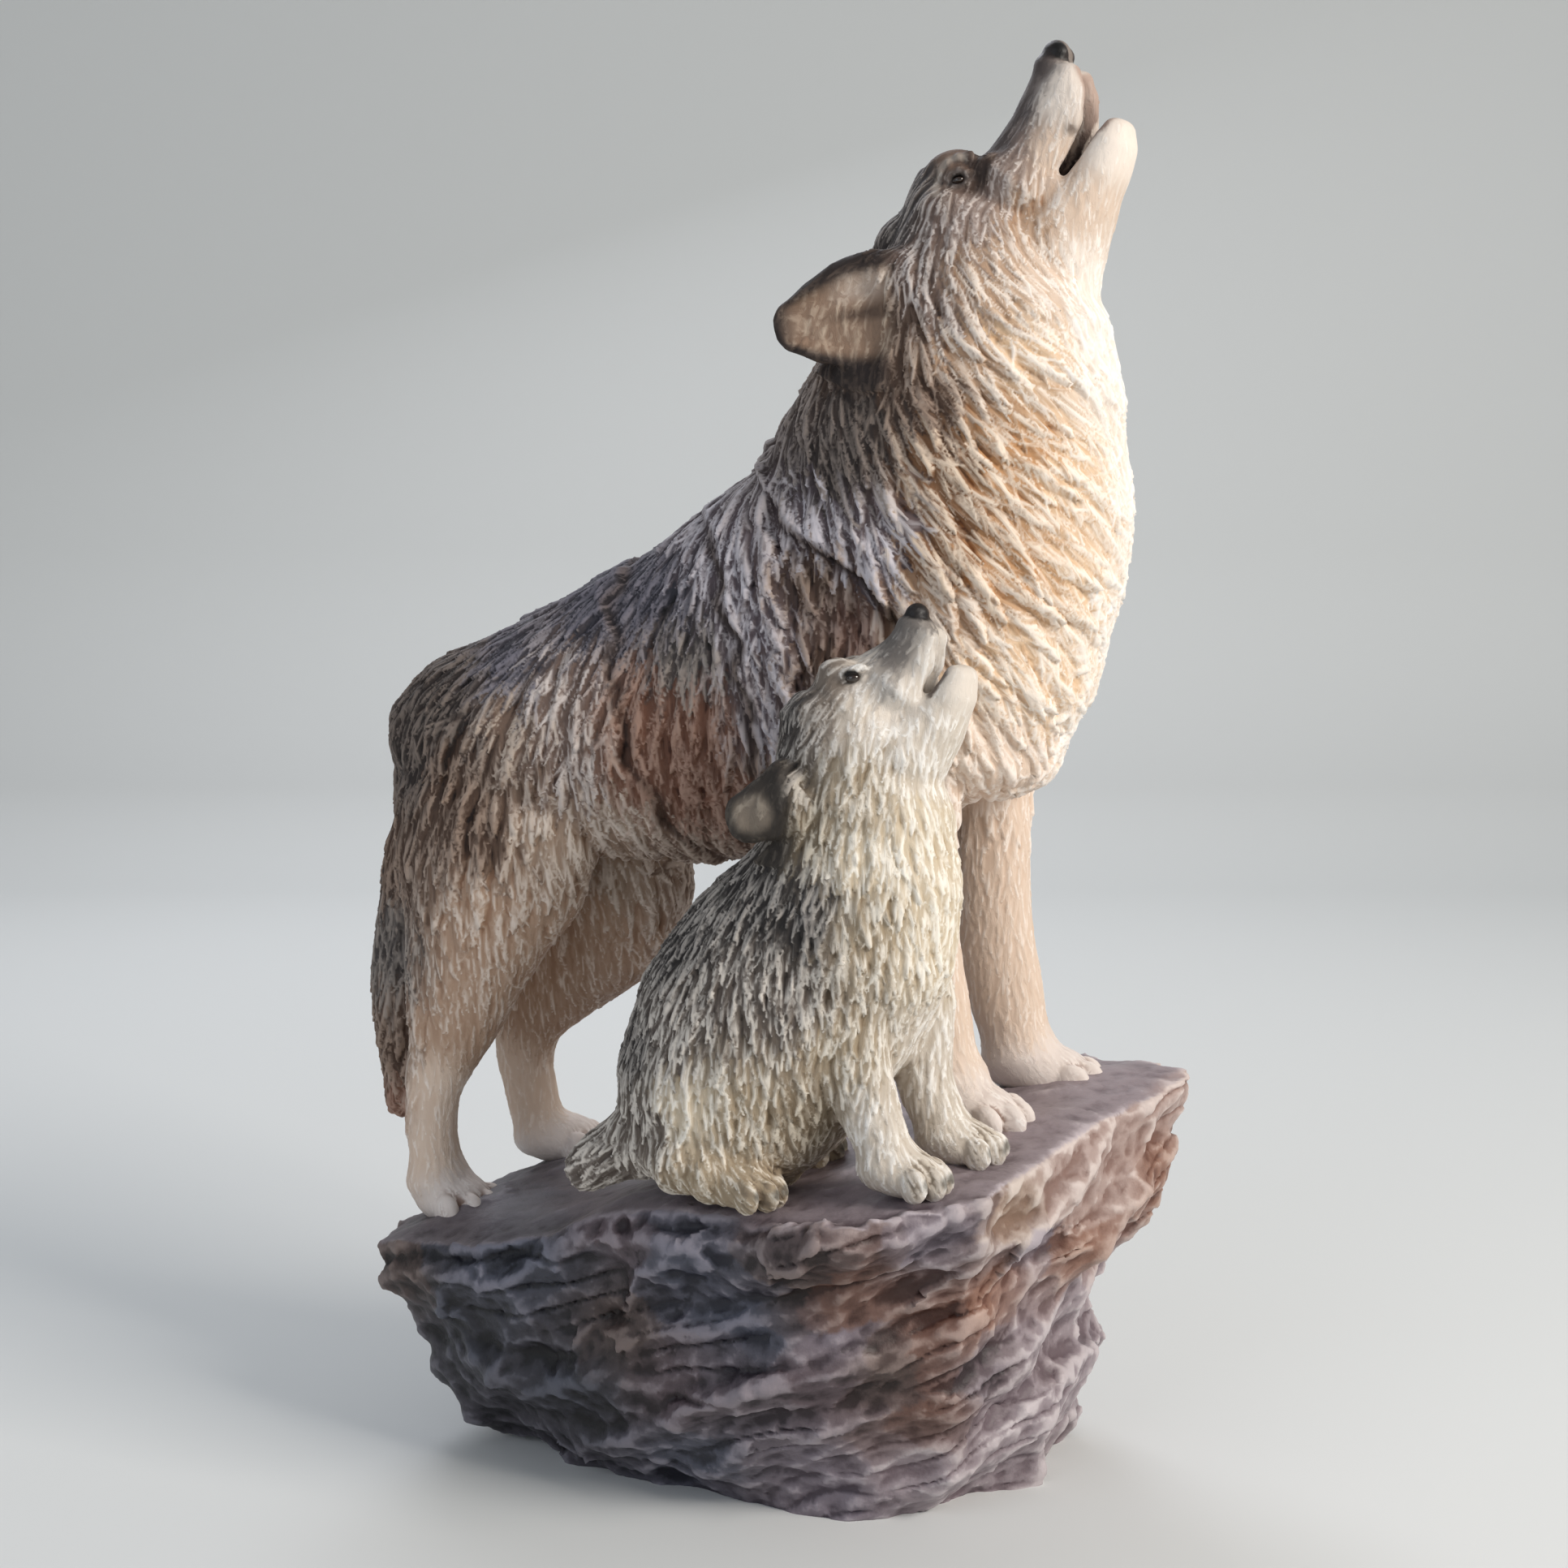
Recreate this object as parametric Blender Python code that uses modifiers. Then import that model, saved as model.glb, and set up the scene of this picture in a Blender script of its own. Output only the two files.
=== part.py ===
"""Wolf figurine: an adult wolf and a seated pup, both howling, on a slab of rock, cast in one piece.

Each animal is drawn in a frame of its own: forward, up and to its left side. Its sections are
lofted, fused into one skin and combed into locks, and it is then turned and stood on the rock.
"""

import math

import bmesh
import bpy
import numpy as np
from mathutils import Matrix, Vector, kdtree, noise

MM = 0.001

# Main sizes
ROCK_LENGTH = 262 * MM
ROCK_DEPTH = 168 * MM
GROUND = 97 * MM
ADULT_HEIGHT = 331 * MM
PUP_HEIGHT = 170 * MM

# Rock and stance
PAW_LIFT = 3 * MM
ROCK_TILT = math.radians(13)
BASE_SINK = 6 * MM
TOP_RISE = 3 * MM
MOUND_PLACE = (-34 * MM, -58 * MM)
MOUND_REACH = 34 * MM
MOUND_RISE = 5 * MM
SCOOP_PLACE = (34 * MM, 70 * MM)
SCOOP_REACH = (42 * MM, 15 * MM)
SCOOP_DEPTH = 9 * MM
STRATA_TILT = math.radians(20)
STRATA_STEP = 24 * MM
STRATA_DEPTH = 4.5 * MM
STRATA_WAVE = 14 * MM
STRATA_WAVE_LENGTH = 60 * MM
BREAK_SIZE = 25 * MM
BREAK_STRETCH = 1.9
BREAK_SLOPE = 0.38
BREAK_SCOOP = 0.42
TOP_BREAK_SHARE = 0.3
LEDGE_SHARE = 0.8
NEAREST_BREAKS = 6

# Adult
ADULT_PLACE = (-7 * MM, 2 * MM)
ADULT_YAW = math.radians(17)
ADULT_PAW = (17 * MM, 11 * MM, 8.5 * MM)
ADULT_EYE = (2.9 * MM, 2.2 * MM, 1.9 * MM)
ADULT_NOSE = (4.4 * MM, 5.2 * MM, 4.2 * MM)
HEAD_TURN = math.radians(9)
HEAD_PIVOT = 66 * MM
HEAD_TURN_FROM = 236 * MM
HEAD_TURN_TO = 286 * MM
EAR_CUP = 4.6 * MM

# Pup
PUP_PLACE = (0 * MM, -60 * MM)
PUP_YAW = math.radians(20)
PUP_PAW = (13 * MM, 8.5 * MM, 7 * MM)
PUP_EYE = (2.6 * MM, 2.2 * MM, 1.7 * MM)
PUP_NOSE = (3.2 * MM, 3.6 * MM, 3.2 * MM)

# Coat
MANE_RISE = 3.6 * MM
BAND_RISE = 2.8 * MM
THIGH_RISE = 2 * MM
BACK_RISE = 1.6 * MM
LAYER_EASE = 3 * MM
LEG_FADE = 40 * MM
ADULT_LOCK_SPACING = 8.5 * MM
PUP_LOCK_SPACING = 6.5 * MM
LEAST_LOCK = 0.05 * MM
LOCK_SLIMNESS = 0.34
LOCK_BEND = 0.22
LOCK_SINK = 0.55
LOCK_ROUNDNESS = 1.6
LOCK_WIDEST = 0.3
ROOT_WIDTH = 0.55
ROOT_RISE = 0.25
TIP_POINT = 0.7
CHART_SOFTNESS = 9
SCATTER = (127.1, 311.7, 74.7)
SCATTER_SALT = 269.5
SCATTER_SCALE = 43758.5453

# Skin
DRAWN_LENGTH = 262
DRAWN_DEPTH = 168
DRAWN_ADULT = 331
DRAWN_PUP = 170
TOP_SHARE = 0.75
FORM_VOXEL = 1.8 * MM
ROCK_VOXEL = 2.2 * MM
BODY_ROUNDS = 8
HEAD_ROUNDS = 3
ROCK_ROUNDS = 6
SKIN_VOXEL = 1.5 * MM
TRIANGLES = 11800
FINE_REACH = 36 * MM
FINE_WEIGHT = 0.001
COAT_SHARE = 0.3
MOST_KEPT = 0.95
SECTION_SIDES = 20
SCOOP_POWER = 4

SIDE = Vector((0, 1, 0))


def frame_point(forward, up, side=0.0):
    """A point of an animal's drawing, where heights start at the standing plane."""
    return Vector((forward, side, up)) * MM


def tube(bm, stations, scoop=(0, 0), share=0.0):
    """Oval sections (forward, up, side, half depth, half width), bridged and closed at both ends.

    A scoop hollows the sections along one side, as a jaw or an ear is hollow.
    """
    centres = [frame_point(*station[:3]) for station in stations]
    rings = []
    for i, station in enumerate(stations):
        along = (centres[min(i + 1, len(centres) - 1)] - centres[max(i - 1, 0)]).normalized()
        side = (SIDE - along * SIDE.dot(along)).normalized()
        face = side.cross(along)
        turn = Matrix((face, side, along)).transposed().to_4x4()
        size = Matrix.Diagonal((station[3] * MM, station[4] * MM, 1, 1))
        ring = bmesh.ops.create_circle(bm, segments=SECTION_SIDES, radius=1)["verts"]
        for vert in ring:
            facing = vert.co.x * scoop[0] + vert.co.y * scoop[1]
            vert.co *= 1 - share * max(facing, 0) ** SCOOP_POWER
        place = Matrix.Translation(centres[i]) @ turn @ size
        bmesh.ops.transform(bm, matrix=place, verts=ring)
        rings.append(ring)
    for lower, upper in zip(rings, rings[1:]):
        edges = {edge for vert in lower + upper for edge in vert.link_edges
                 if set(edge.verts) <= set(lower) or set(edge.verts) <= set(upper)}
        bmesh.ops.bridge_loops(bm, edges=list(edges))
    bm.faces.new(rings[0])
    bm.faces.new(rings[-1])


def ball(bm, centre, radii, pitch=0.0, yaw=0.0):
    """An ellipsoid with half lengths forward, sideways and up, tipped nose up and turned."""
    place = (Matrix.Translation(centre) @ Matrix.Rotation(yaw, 4, "Z")
             @ Matrix.Rotation(-pitch, 4, "Y") @ Matrix.Diagonal((*radii, 1)))
    bmesh.ops.create_uvsphere(bm, u_segments=16, v_segments=10, radius=1, matrix=place)


def insteps(bm, paws, size):
    """The rounded back of each paw (forward, up, side, turn out in degrees)."""
    length, width, height = size
    for forward, up, side, turn in paws:
        ball(bm, frame_point(forward, up, side), (length * 0.85, width, height), yaw=math.radians(turn))


def toes(bm, paws, size):
    """Four toes in an arc ahead of each instep."""
    length, width, height = size
    for forward, up, side, turn in paws:
        yaw = math.radians(turn)
        for across, ahead in ((-0.84, 0.4), (-0.29, 0.66), (0.29, 0.66), (0.84, 0.4)):
            reach = Matrix.Rotation(yaw, 3, "Z") @ Vector((ahead * length, across * width, -0.25 * height))
            ball(bm, frame_point(forward, up, side) + reach,
                 (length * 0.44, width * 0.28, height * 0.66), yaw=yaw + across * 0.2)


ADULT_PAWS = ((87, 21, 21, 12), (73, 17.5, -21, -12), (-79, -13.5, 23, 12), (-97, -23, -23, -24))
# The adult's ears: how far forward they start and end, the height of their middle there, and their
# half height along that way
EAR_SPAN = (52, 11)
EAR_MIDDLE = (252.5, 248)
EAR_HEIGHTS = (17.6, 17.4, 16, 12.4, 7.8, 3.2)
EAR_OUTSIDE = 20
PUP_PAWS = ((40, 11.5, -13, -6), (49, 14.5, 13, 6), (-5, 6.5, -22.5, -9), (-3, 7.5, 22.5, 9))


def adult_body(bm):
    """Trunk, neck, legs and tail of the adult."""
    insteps(bm, ADULT_PAWS, ADULT_PAW)
    tube(bm, [(-118, 112, 0, 14, 12), (-108, 118, 0, 26, 24), (-90, 122, 0, 33, 31),
              (-65, 126, 0, 40, 33), (-40, 132, 0, 46, 32), (-15, 138, 0, 54, 34),
              (10, 146, 0, 60, 37), (45, 162, 0, 60, 38), (70, 164, 0, 48, 34),
              (92, 168, 0, 26, 22)])
    tube(bm, [(44, 118, 0, 34, 26), (49, 140, 0, 48, 34), (54, 162, 0, 52, 38),
              (58, 200, 0, 56, 38), (64, 225, 0, 49, 36), (68, 245, 0, 42, 33),
              (69, 260, 0, 34, 30), (68, 270, 0, 22, 21)])
    tube(bm, [(-76, 132, -10, 18, 10), (-82, 110, -14, 32, 16), (-84, 90, -16, 34, 17),
              (-89, 68, -18, 27, 15), (-93, 50, -20, 20, 12), (-97.5, 32, -21, 15, 9.5),
              (-102, 18, -22, 10.5, 8), (-104, 4, -23, 8.5, 7.5), (-103, -10, -23, 8.5, 8),
              (-101, -24, -23, 8.5, 8)])
    tube(bm, [(-68, 130, 10, 16, 10), (-64, 108, 14, 29, 15), (-58, 85, 16, 28, 16),
              (-60, 66, 18, 25, 13), (-72, 48, 20, 19, 11), (-86, 32, 21, 14, 9),
              (-91, 19, 22, 11, 8), (-90, 5, 23, 9.5, 7.5), (-87, -8, 23, 9, 8),
              (-84, -18, 23, 8, 8)])
    for side, shift in ((21, 0), (-21, -14)):
        tube(bm, [(52 + shift / 2, 184, side * 0.5, 14, 10), (58 + shift / 2, 160, side * 0.8, 22, 15),
                  (64 + shift * 0.8, 138, side, 17, 13), (67 + shift, 118, side, 14, 11),
                  (69 + shift, 92, side, 12.5, 10), (70 + shift, 68, side, 12.5, 9.5),
                  (73.5 + shift, 47, side, 12.5, 9), (77 + shift, 33, side, 11, 9.5),
                  (81 + shift, 18, side, 10, 9)])
    tube(bm, [(-104, 122, 0, 11, 9), (-115, 95, -1, 11, 9), (-120, 72, -2, 11, 9),
              (-122, 48, -3, 11.5, 9.5), (-122, 25, -4, 10, 9), (-123, 8, -4, 6, 6),
              (-125, -3, -4, 2, 2)])


def adult_head(bm):
    """Skull, muzzle, lips, jaw, brows and ears."""
    tube(bm, [(62, 228, 0, 26, 22), (64, 244, 0, 38, 31), (66, 258, 0, 35, 31), (65, 273, 0, 28, 26),
              (61, 285, 0, 18, 20), (59, 292, 0, 11.5, 15), (60, 297, 0, 6, 9)])
    tube(bm, [(60, 270, 0, 20, 20), (69, 281, 0, 16, 18), (77, 292, 0, 10.5, 13),
              (82.5, 302, 0, 7.6, 9.6), (87.3, 312, 0, 6.6, 8), (90.2, 320, 0, 5.8, 6.8),
              (91.5, 326, 0, 4.4, 5.4)])
    for side in (-1, 1):
        tube(bm, [(77, 283, side * 11, 8, 6.5), (85.5, 295, side * 9.4, 7.8, 5),
                  (90.5, 305, side * 7.4, 7.6, 4.2), (93.6, 313, side * 6.2, 7, 4),
                  (95.6, 319.5, side * 5, 4.4, 3.2), (96, 322.5, side * 4, 2, 2)])
        ball(bm, frame_point(63, 294.2, side * 9.5), (9 * MM, 6.6 * MM, 6 * MM), pitch=math.radians(12))
        ball(bm, frame_point(64, 281, side * 18), (9 * MM, 6 * MM, 7 * MM))
        ball(bm, frame_point(74.5, 292, side * 12), (7 * MM, 5 * MM, 5 * MM), pitch=math.radians(50))
        tube(bm, [(60, 251.5, side * 19, 18, 8), (47, 252.5, side * 22.5, 18, 7),
                  (38, 251.8, side * 25.5, 17.6, 6), (29, 250.2, side * 28, 13.8, 5.2),
                  (20, 248.8, side * 29.5, 8.6, 4.4), (14, 248, side * 30, 3.6, 3.2)])
    tube(bm, [(72, 256, 0, 22, 24), (86, 268, 0, 17, 19), (96.5, 280, 0, 11.6, 13.8),
              (102.5, 289.5, 0, 8.4, 10.6), (107, 297.5, 0, 7.2, 9), (109.6, 303.5, 0, 5.0, 6.8),
              (110.6, 306.6, 0, 2.2, 3.4)],
         scoop=(-1, 0), share=0.7)


def adult_features(bm):
    """Nose, eyes and toes of the adult."""
    ball(bm, frame_point(91.4, 326.2), ADULT_NOSE, pitch=math.radians(60))
    for side in (-1, 1):
        ball(bm, frame_point(67.8, 290.4, side * 16.4), ADULT_EYE, pitch=math.radians(12))
    toes(bm, ADULT_PAWS, ADULT_PAW)


def pup_body(bm):
    """Trunk, neck, legs and tail of the seated pup."""
    insteps(bm, PUP_PAWS, PUP_PAW)
    tube(bm, [(-24, 3, 0, 24, 22), (-22, 14, 0, 29, 27), (-14, 32, 0, 36, 29),
              (-2, 52, 0, 38, 28), (13, 72, 0, 36, 26), (22, 90, 0, 31, 24),
              (24, 106, 0, 26, 22), (25, 119, 0, 23, 20), (26, 127, 0, 15, 14)])
    for side in (-1, 1):
        ball(bm, frame_point(-16, 30, side * 15), (25 * MM, 14 * MM, 25 * MM))
        tube(bm, [(-28, 14, side * 20, 9, 8), (-18, 9.5, side * 22, 7.5, 8),
                  (-8, 9, side * 22.5, 7, 7.5)])
    tube(bm, [(16, 78, -12, 18, 11), (21, 58, -13, 14, 10), (25, 42, -13, 11.5, 8.5),
              (29, 30, -13, 9.5, 7.5), (34, 19, -13, 8, 7.5), (37, 8, -13, 7, 7)])
    tube(bm, [(30, 78, 12, 17, 11), (35, 54, 13, 12, 9), (37, 41, 13, 10, 7.5),
              (39, 30, 13, 8.5, 7.5), (43, 21, 13, 8, 8), (46, 12, 13, 7, 7)])
    tube(bm, [(-36, 14, -8, 9, 9), (-48, 9, -11, 9, 8), (-56, 4, -12, 7.5, 7),
              (-61, -1, -12, 3.5, 4)])


def pup_head(bm):
    """Skull, open jaws, brows and ears of the pup."""
    tube(bm, [(23, 114, 0, 14, 13), (22, 124, 0, 22, 20), (18, 136, 0, 19, 18), (16, 146, 0, 12, 12)])
    tube(bm, [(18, 134, 0, 14, 14), (29, 145, 0, 12, 13), (35.5, 153, 0, 8.2, 9),
              (38.5, 160, 0, 6, 6.6), (39.5, 165, 0, 4, 4.8)])
    for side in (-1, 1):
        tube(bm, [(30, 142, side * 7, 7, 5), (38, 151, side * 5.5, 6.5, 3.6),
                  (42, 158, side * 4.2, 4.6, 2.9), (42.8, 162.5, side * 3.2, 2.6, 2.2)])
        ball(bm, frame_point(19, 150, side * 8), (6 * MM, 5 * MM, 4 * MM))
        tube(bm, [(12, 116, side * 15, 10, 6), (4, 113, side * 18, 9.5, 5),
                  (-3, 110, side * 19.5, 7.5, 4.4), (-9, 108, side * 20, 4, 3)])
    tube(bm, [(30, 126, 0, 16, 16), (42, 135.5, 0, 11, 12), (48, 143, 0, 7, 8.5),
              (51, 149.5, 0, 4.4, 5.8)], scoop=(-1, 0), share=0.6)


def pup_features(bm):
    """Nose, eyes and toes of the pup."""
    ball(bm, frame_point(39.2, 165.6), PUP_NOSE, pitch=math.radians(60))
    for side in (-1, 1):
        ball(bm, frame_point(24.5, 149, side * 12), PUP_EYE, pitch=math.radians(12))
    toes(bm, PUP_PAWS, PUP_PAW)


def fused(name, build, rounds=0, start=None):
    """The shapes that a build draws, made one skin of even quads, with their joins eased."""
    bm = bmesh.new()
    build(bm)
    bmesh.ops.recalc_face_normals(bm, faces=bm.faces)
    bmesh.ops.subdivide_edges(bm, edges=bm.edges, cuts=1, smooth=1.0, use_grid_fill=True)
    if start:
        bm.from_mesh(start)
    mesh = bpy.data.meshes.new(name)
    bm.to_mesh(mesh)
    bm.free()
    return remeshed(name, mesh, FORM_VOXEL, rounds)


def remeshed(name, mesh, voxel, rounds=0):
    """The mesh as a voxel skin, smoothed by a number of rounds."""
    body = bpy.data.objects.new(name, mesh)
    bpy.context.scene.collection.objects.link(body)
    fuse = body.modifiers.new("Fuse", "REMESH")
    fuse.mode = "VOXEL"
    fuse.voxel_size = voxel
    if rounds:
        smooth = body.modifiers.new("Ease", "SMOOTH")
        smooth.factor = 0.5
        smooth.iterations = rounds
    graph = bpy.context.evaluated_depsgraph_get()
    skin = bpy.data.meshes.new_from_object(body.evaluated_get(graph))
    bpy.data.objects.remove(body)
    return skin


def arrays(mesh):
    """Points and outward normals of a mesh as rows."""
    points = np.empty(len(mesh.vertices) * 3)
    normals = np.empty(len(mesh.vertices) * 3)
    mesh.vertices.foreach_get("co", points)
    mesh.vertex_normals.foreach_get("vector", normals)
    return points.reshape(-1, 3), normals.reshape(-1, 3)


def store(mesh, points):
    mesh.vertices.foreach_set("co", points.ravel())
    mesh.update()


def unit(rows):
    return rows / np.maximum(np.linalg.norm(rows, axis=1, keepdims=True), 1e-9)


# Coat charts: forward, up, flow in degrees from forward through up, lock length and depth
ADULT_COAT = (
    (90, 322, 250, 5, 0), (86, 311, 246, 5, 0), (80, 303, 243, 5, 0), (95, 318, 262, 5, 0),
    (93, 311, 262, 5, 0), (92, 300, 266, 5, 0), (86, 300, 256, 6, 0), (82, 294, 256, 6, 0.1),
    (76, 295, 250, 5, 0), (72, 301, 240, 5, 0), (65, 298, 230, 5, 0), (57, 291, 228, 6, 0.1),
    (50, 281, 230, 8, 0.3), (43, 273, 235, 10, 0.5), (66, 282, 262, 8, 0.3), (58, 272, 258, 12, 0.8),
    (74, 283, 262, 8, 0.2), (88, 280, 280, 8, 0.2), (100, 284, 270, 6, 0), (110, 298, 262, 5, 0),
    (103, 266, 272, 10, 0.4), (88, 266, 285, 14, 0.8), (75, 262, 284, 16, 1.0), (62, 258, 272, 18, 1.4),
    (47, 262, 256, 14, 1.0), (50, 247, 264, 18, 1.6), (64, 246, 280, 22, 2.0), (82, 244, 312, 24, 2.2),
    (106, 240, 288, 26, 2.6), (110, 255, 275, 14, 1.0), (56, 233, 290, 24, 2.2),
    (42, 226, 280, 24, 2.4), (28, 213, 278, 26, 2.6), (62, 213, 300, 30, 3.0), (79, 214, 310, 32, 3.2),
    (97, 212, 318, 32, 3.2), (113, 212, 295, 30, 3.0), (24, 203, 298, 28, 3.0), (42, 194, 303, 30, 3.4),
    (60, 192, 305, 32, 3.6), (76, 184, 313, 34, 3.8), (98, 180, 315, 34, 3.6), (112, 176, 292, 34, 3.4),
    (60, 171, 295, 32, 3.4), (74, 155, 302, 36, 3.8), (94, 150, 298, 34, 3.4), (104, 140, 284, 32, 3.0),
    (80, 132, 286, 30, 2.8), (62, 138, 282, 30, 2.8), (82, 112, 274, 14, 0.6), (72, 90, 270, 9, 0.1),
    (85, 73, 270, 9, 0.1), (84, 45, 275, 8, 0.1), (70, 55, 270, 8, 0.1), (99, 32, 300, 5, 0),
    (82, 18, 310, 5, 0), (26, 183, 272, 20, 1.6), (40, 166, 264, 20, 1.6), (30, 152, 262, 20, 1.6),
    (30, 128, 262, 20, 1.6), (-4, 190, 285, 30, 3.0), (6, 166, 282, 32, 3.0), (14, 142, 278, 30, 3.0),
    (17, 122, 276, 26, 2.4), (-25, 178, 252, 28, 2.2), (-12, 160, 262, 28, 2.2),
    (-6, 137, 266, 28, 2.4), (-17, 113, 272, 28, 2.4), (4, 112, 274, 26, 2.4), (-17, 92, 270, 26, 2.2),
    (8, 94, 272, 26, 2.2), (36, 105, 272, 24, 1.8), (-50, 150, 258, 30, 2.8), (-46, 128, 268, 30, 2.8),
    (-38, 110, 285, 30, 2.8), (-24, 95, 290, 26, 2.4), (-45, 172, 245, 26, 2.0),
    (-68, 154, 242, 26, 2.2), (-67, 137, 250, 26, 2.2), (-92, 143, 240, 26, 2.4),
    (-111, 122, 252, 28, 2.6), (-89, 121, 262, 28, 2.4), (-81, 103, 266, 26, 2.0),
    (-63, 101, 278, 26, 1.8), (-47, 85, 284, 22, 1.4), (-79, 74, 274, 18, 1.0), (-58, 66, 272, 14, 0.5),
    (-79, 52, 272, 12, 0.4), (-92, 34, 268, 9, 0.2), (-78, 30, 268, 9, 0.2), (-98, 16, 270, 8, 0.1),
    (-88, 4, 272, 8, 0.1), (-103, -4, 272, 8, 0.1), (-92, -20, 300, 5, 0), (-72, -12, 300, 5, 0),
    (-121, 98, 266, 34, 2.6), (-124, 66, 268, 34, 2.8), (-123, 31, 268, 32, 2.6),
    (-125, 5, 266, 24, 2.0),
)
PUP_COAT = (
    (41, 164, 240, 4, 0), (38, 158, 248, 4, 0), (46, 160, 262, 4, 0), (47, 153, 262, 4, 0),
    (33, 155, 235, 4, 0), (29, 154, 230, 4, 0), (20, 149, 232, 6, 0.2), (9, 139, 240, 8, 0.4),
    (16, 140, 245, 8, 0.4), (29, 140, 262, 9, 0.4), (43, 139, 265, 8, 0.2), (55, 147, 262, 4, 0),
    (52, 126, 270, 10, 0.4), (29, 122, 262, 12, 0.8), (4, 118, 250, 12, 0.9), (15, 112, 260, 14, 1.1),
    (44, 110, 284, 16, 1.2), (29, 104, 270, 14, 1.2), (48, 98, 284, 16, 1.3), (-2, 93, 258, 14, 1.2),
    (-24, 76, 250, 14, 1.2), (15, 88, 262, 14, 1.2), (33, 84, 272, 14, 1.2), (48, 80, 276, 14, 1.2),
    (-9, 66, 262, 14, 1.2), (10, 63, 266, 14, 1.1), (-38, 48, 262, 14, 1.1), (-26, 52, 258, 14, 1.1),
    (-32, 26, 268, 14, 1.0), (-20, 31, 268, 14, 1.0), (-2, 32, 276, 14, 1.0), (-14, 12, 290, 10, 0.6),
    (14, 28, 280, 12, 0.6), (24, 50, 266, 12, 0.8), (34, 27, 268, 9, 0.3), (48, 46, 270, 9, 0.3),
    (43, 12, 300, 5, 0), (-2, 8, 320, 6, 0.1), (-50, 8, 215, 12, 0.8),
)

# Edges of the adult's coat layers: height, then how far forward each edge runs there
LAYER_HEIGHTS = (85, 95, 110, 125, 138, 150, 162, 175, 190, 205)
MANE_EDGE = (68, 66, 64, 62, 60, 58, 53, 43, 20, 4)
BAND_FRONT = (24, 23, 21, 21, 22, 22, 18, 15, 12, 6)
BAND_BACK = (14, 13, 11, 9, 7, 5, 1, -3, -10, -24)
THIGH_FRONT = (-14, -20, -30, -35, -38, -40, -42, -42, -42, -42)


def chart_values(chart, forward, up):
    """Flow direction, lock length and lock depth at points, blended from the nearest entries."""
    rows = np.array(chart, float)
    gaps = (forward[:, None] / MM - rows[None, :, 0]) ** 2 + (up[:, None] / MM - rows[None, :, 1]) ** 2
    weights = 1 / (gaps + CHART_SOFTNESS) ** 2
    weights /= weights.sum(axis=1, keepdims=True)
    angles = np.radians(rows[:, 2])
    flow = np.stack([weights @ np.cos(angles), weights @ np.sin(angles)], axis=1)
    return flow, weights @ (rows[:, 3] * MM), weights @ (rows[:, 4] * MM)


def scattered(cells, salt):
    """A number between 0 and 1 for each cell of a grid, the same on every mesh."""
    values = np.sin(cells @ np.array(SCATTER) + salt * SCATTER_SALT) * SCATTER_SCALE
    return values - np.floor(values)


def seeded(points, spacing):
    """One point in each cell of a grid, nearest to a scattered place in it, and the cells."""
    cells = np.floor(points / spacing)
    places = np.stack([scattered(cells, salt) for salt in (1, 2, 3)], axis=1)
    order = np.argsort(np.linalg.norm(points / spacing - cells - places, axis=1), kind="stable")
    chosen, first = np.unique(cells[order], axis=0, return_index=True)
    return order[first], chosen


def planted(points):
    """A search tree of the points."""
    tree = kdtree.KDTree(len(points))
    for i, point in enumerate(points):
        tree.insert(point, i)
    tree.balance()
    return tree


def lock_heights(points, normals, chart, spacing):
    """How far each point stands up in the overlapping locks, and how deep the coat is there."""
    roots, cells = seeded(points, spacing)
    flow, lengths, depths = chart_values(chart, points[roots, 0], points[roots, 2])
    ahead = np.stack([flow[:, 0], np.zeros(len(roots)), flow[:, 1]], axis=1)
    ahead = unit(ahead - normals[roots] * (ahead * normals[roots]).sum(axis=1, keepdims=True))
    across = np.cross(normals[roots], ahead)
    bends = LOCK_BEND * (2 * scattered(cells, 4) - 1)
    lengths = lengths * (0.75 + 0.5 * scattered(cells, 5))
    halves = lengths * LOCK_SLIMNESS / 2 * (0.8 + 0.4 * scattered(cells, 6))
    depths = depths * (0.65 + 0.45 * scattered(cells, 7))
    tree = planted(points)
    heights = np.zeros(len(points))
    for i, root in enumerate(roots):
        if depths[i] < LEAST_LOCK:
            continue
        middle = points[root] + ahead[i] * lengths[i] / 2
        near = np.array([found[1] for found in tree.find_range(middle, lengths[i] * 0.58)])
        if not len(near):
            continue
        near = near[normals[near] @ normals[root] > 0.1]
        offset = points[near] - points[root]
        run = offset @ ahead[i] / lengths[i]
        reach = np.clip(run, 0, 1)
        tip = np.clip(1 - ((reach - LOCK_WIDEST) / (1 - LOCK_WIDEST)) ** 2, 1e-4, 1) ** TIP_POINT
        taper = np.where(reach < LOCK_WIDEST, ROOT_WIDTH + (1 - ROOT_WIDTH) * reach / LOCK_WIDEST, tip)
        span = (offset @ across[i] + bends[i] * lengths[i] * reach ** 2) / (halves[i] * taper)
        slope = ROOT_RISE + (1 - ROOT_RISE) * reach ** 0.8
        rise = depths[i] * slope * np.clip(1 - np.abs(span) ** LOCK_ROUNDNESS, 0, 1)
        rise[(run < 0) | (run > 1)] = 0
        heights[near] = np.maximum(heights[near], rise)
    return heights, chart_values(chart, points[:, 0], points[:, 2])[2]


def step(values):
    """0 below, 1 above, with an even slope over the layer's edge between."""
    return np.clip(values / LAYER_EASE + 0.5, 0, 1)


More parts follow.
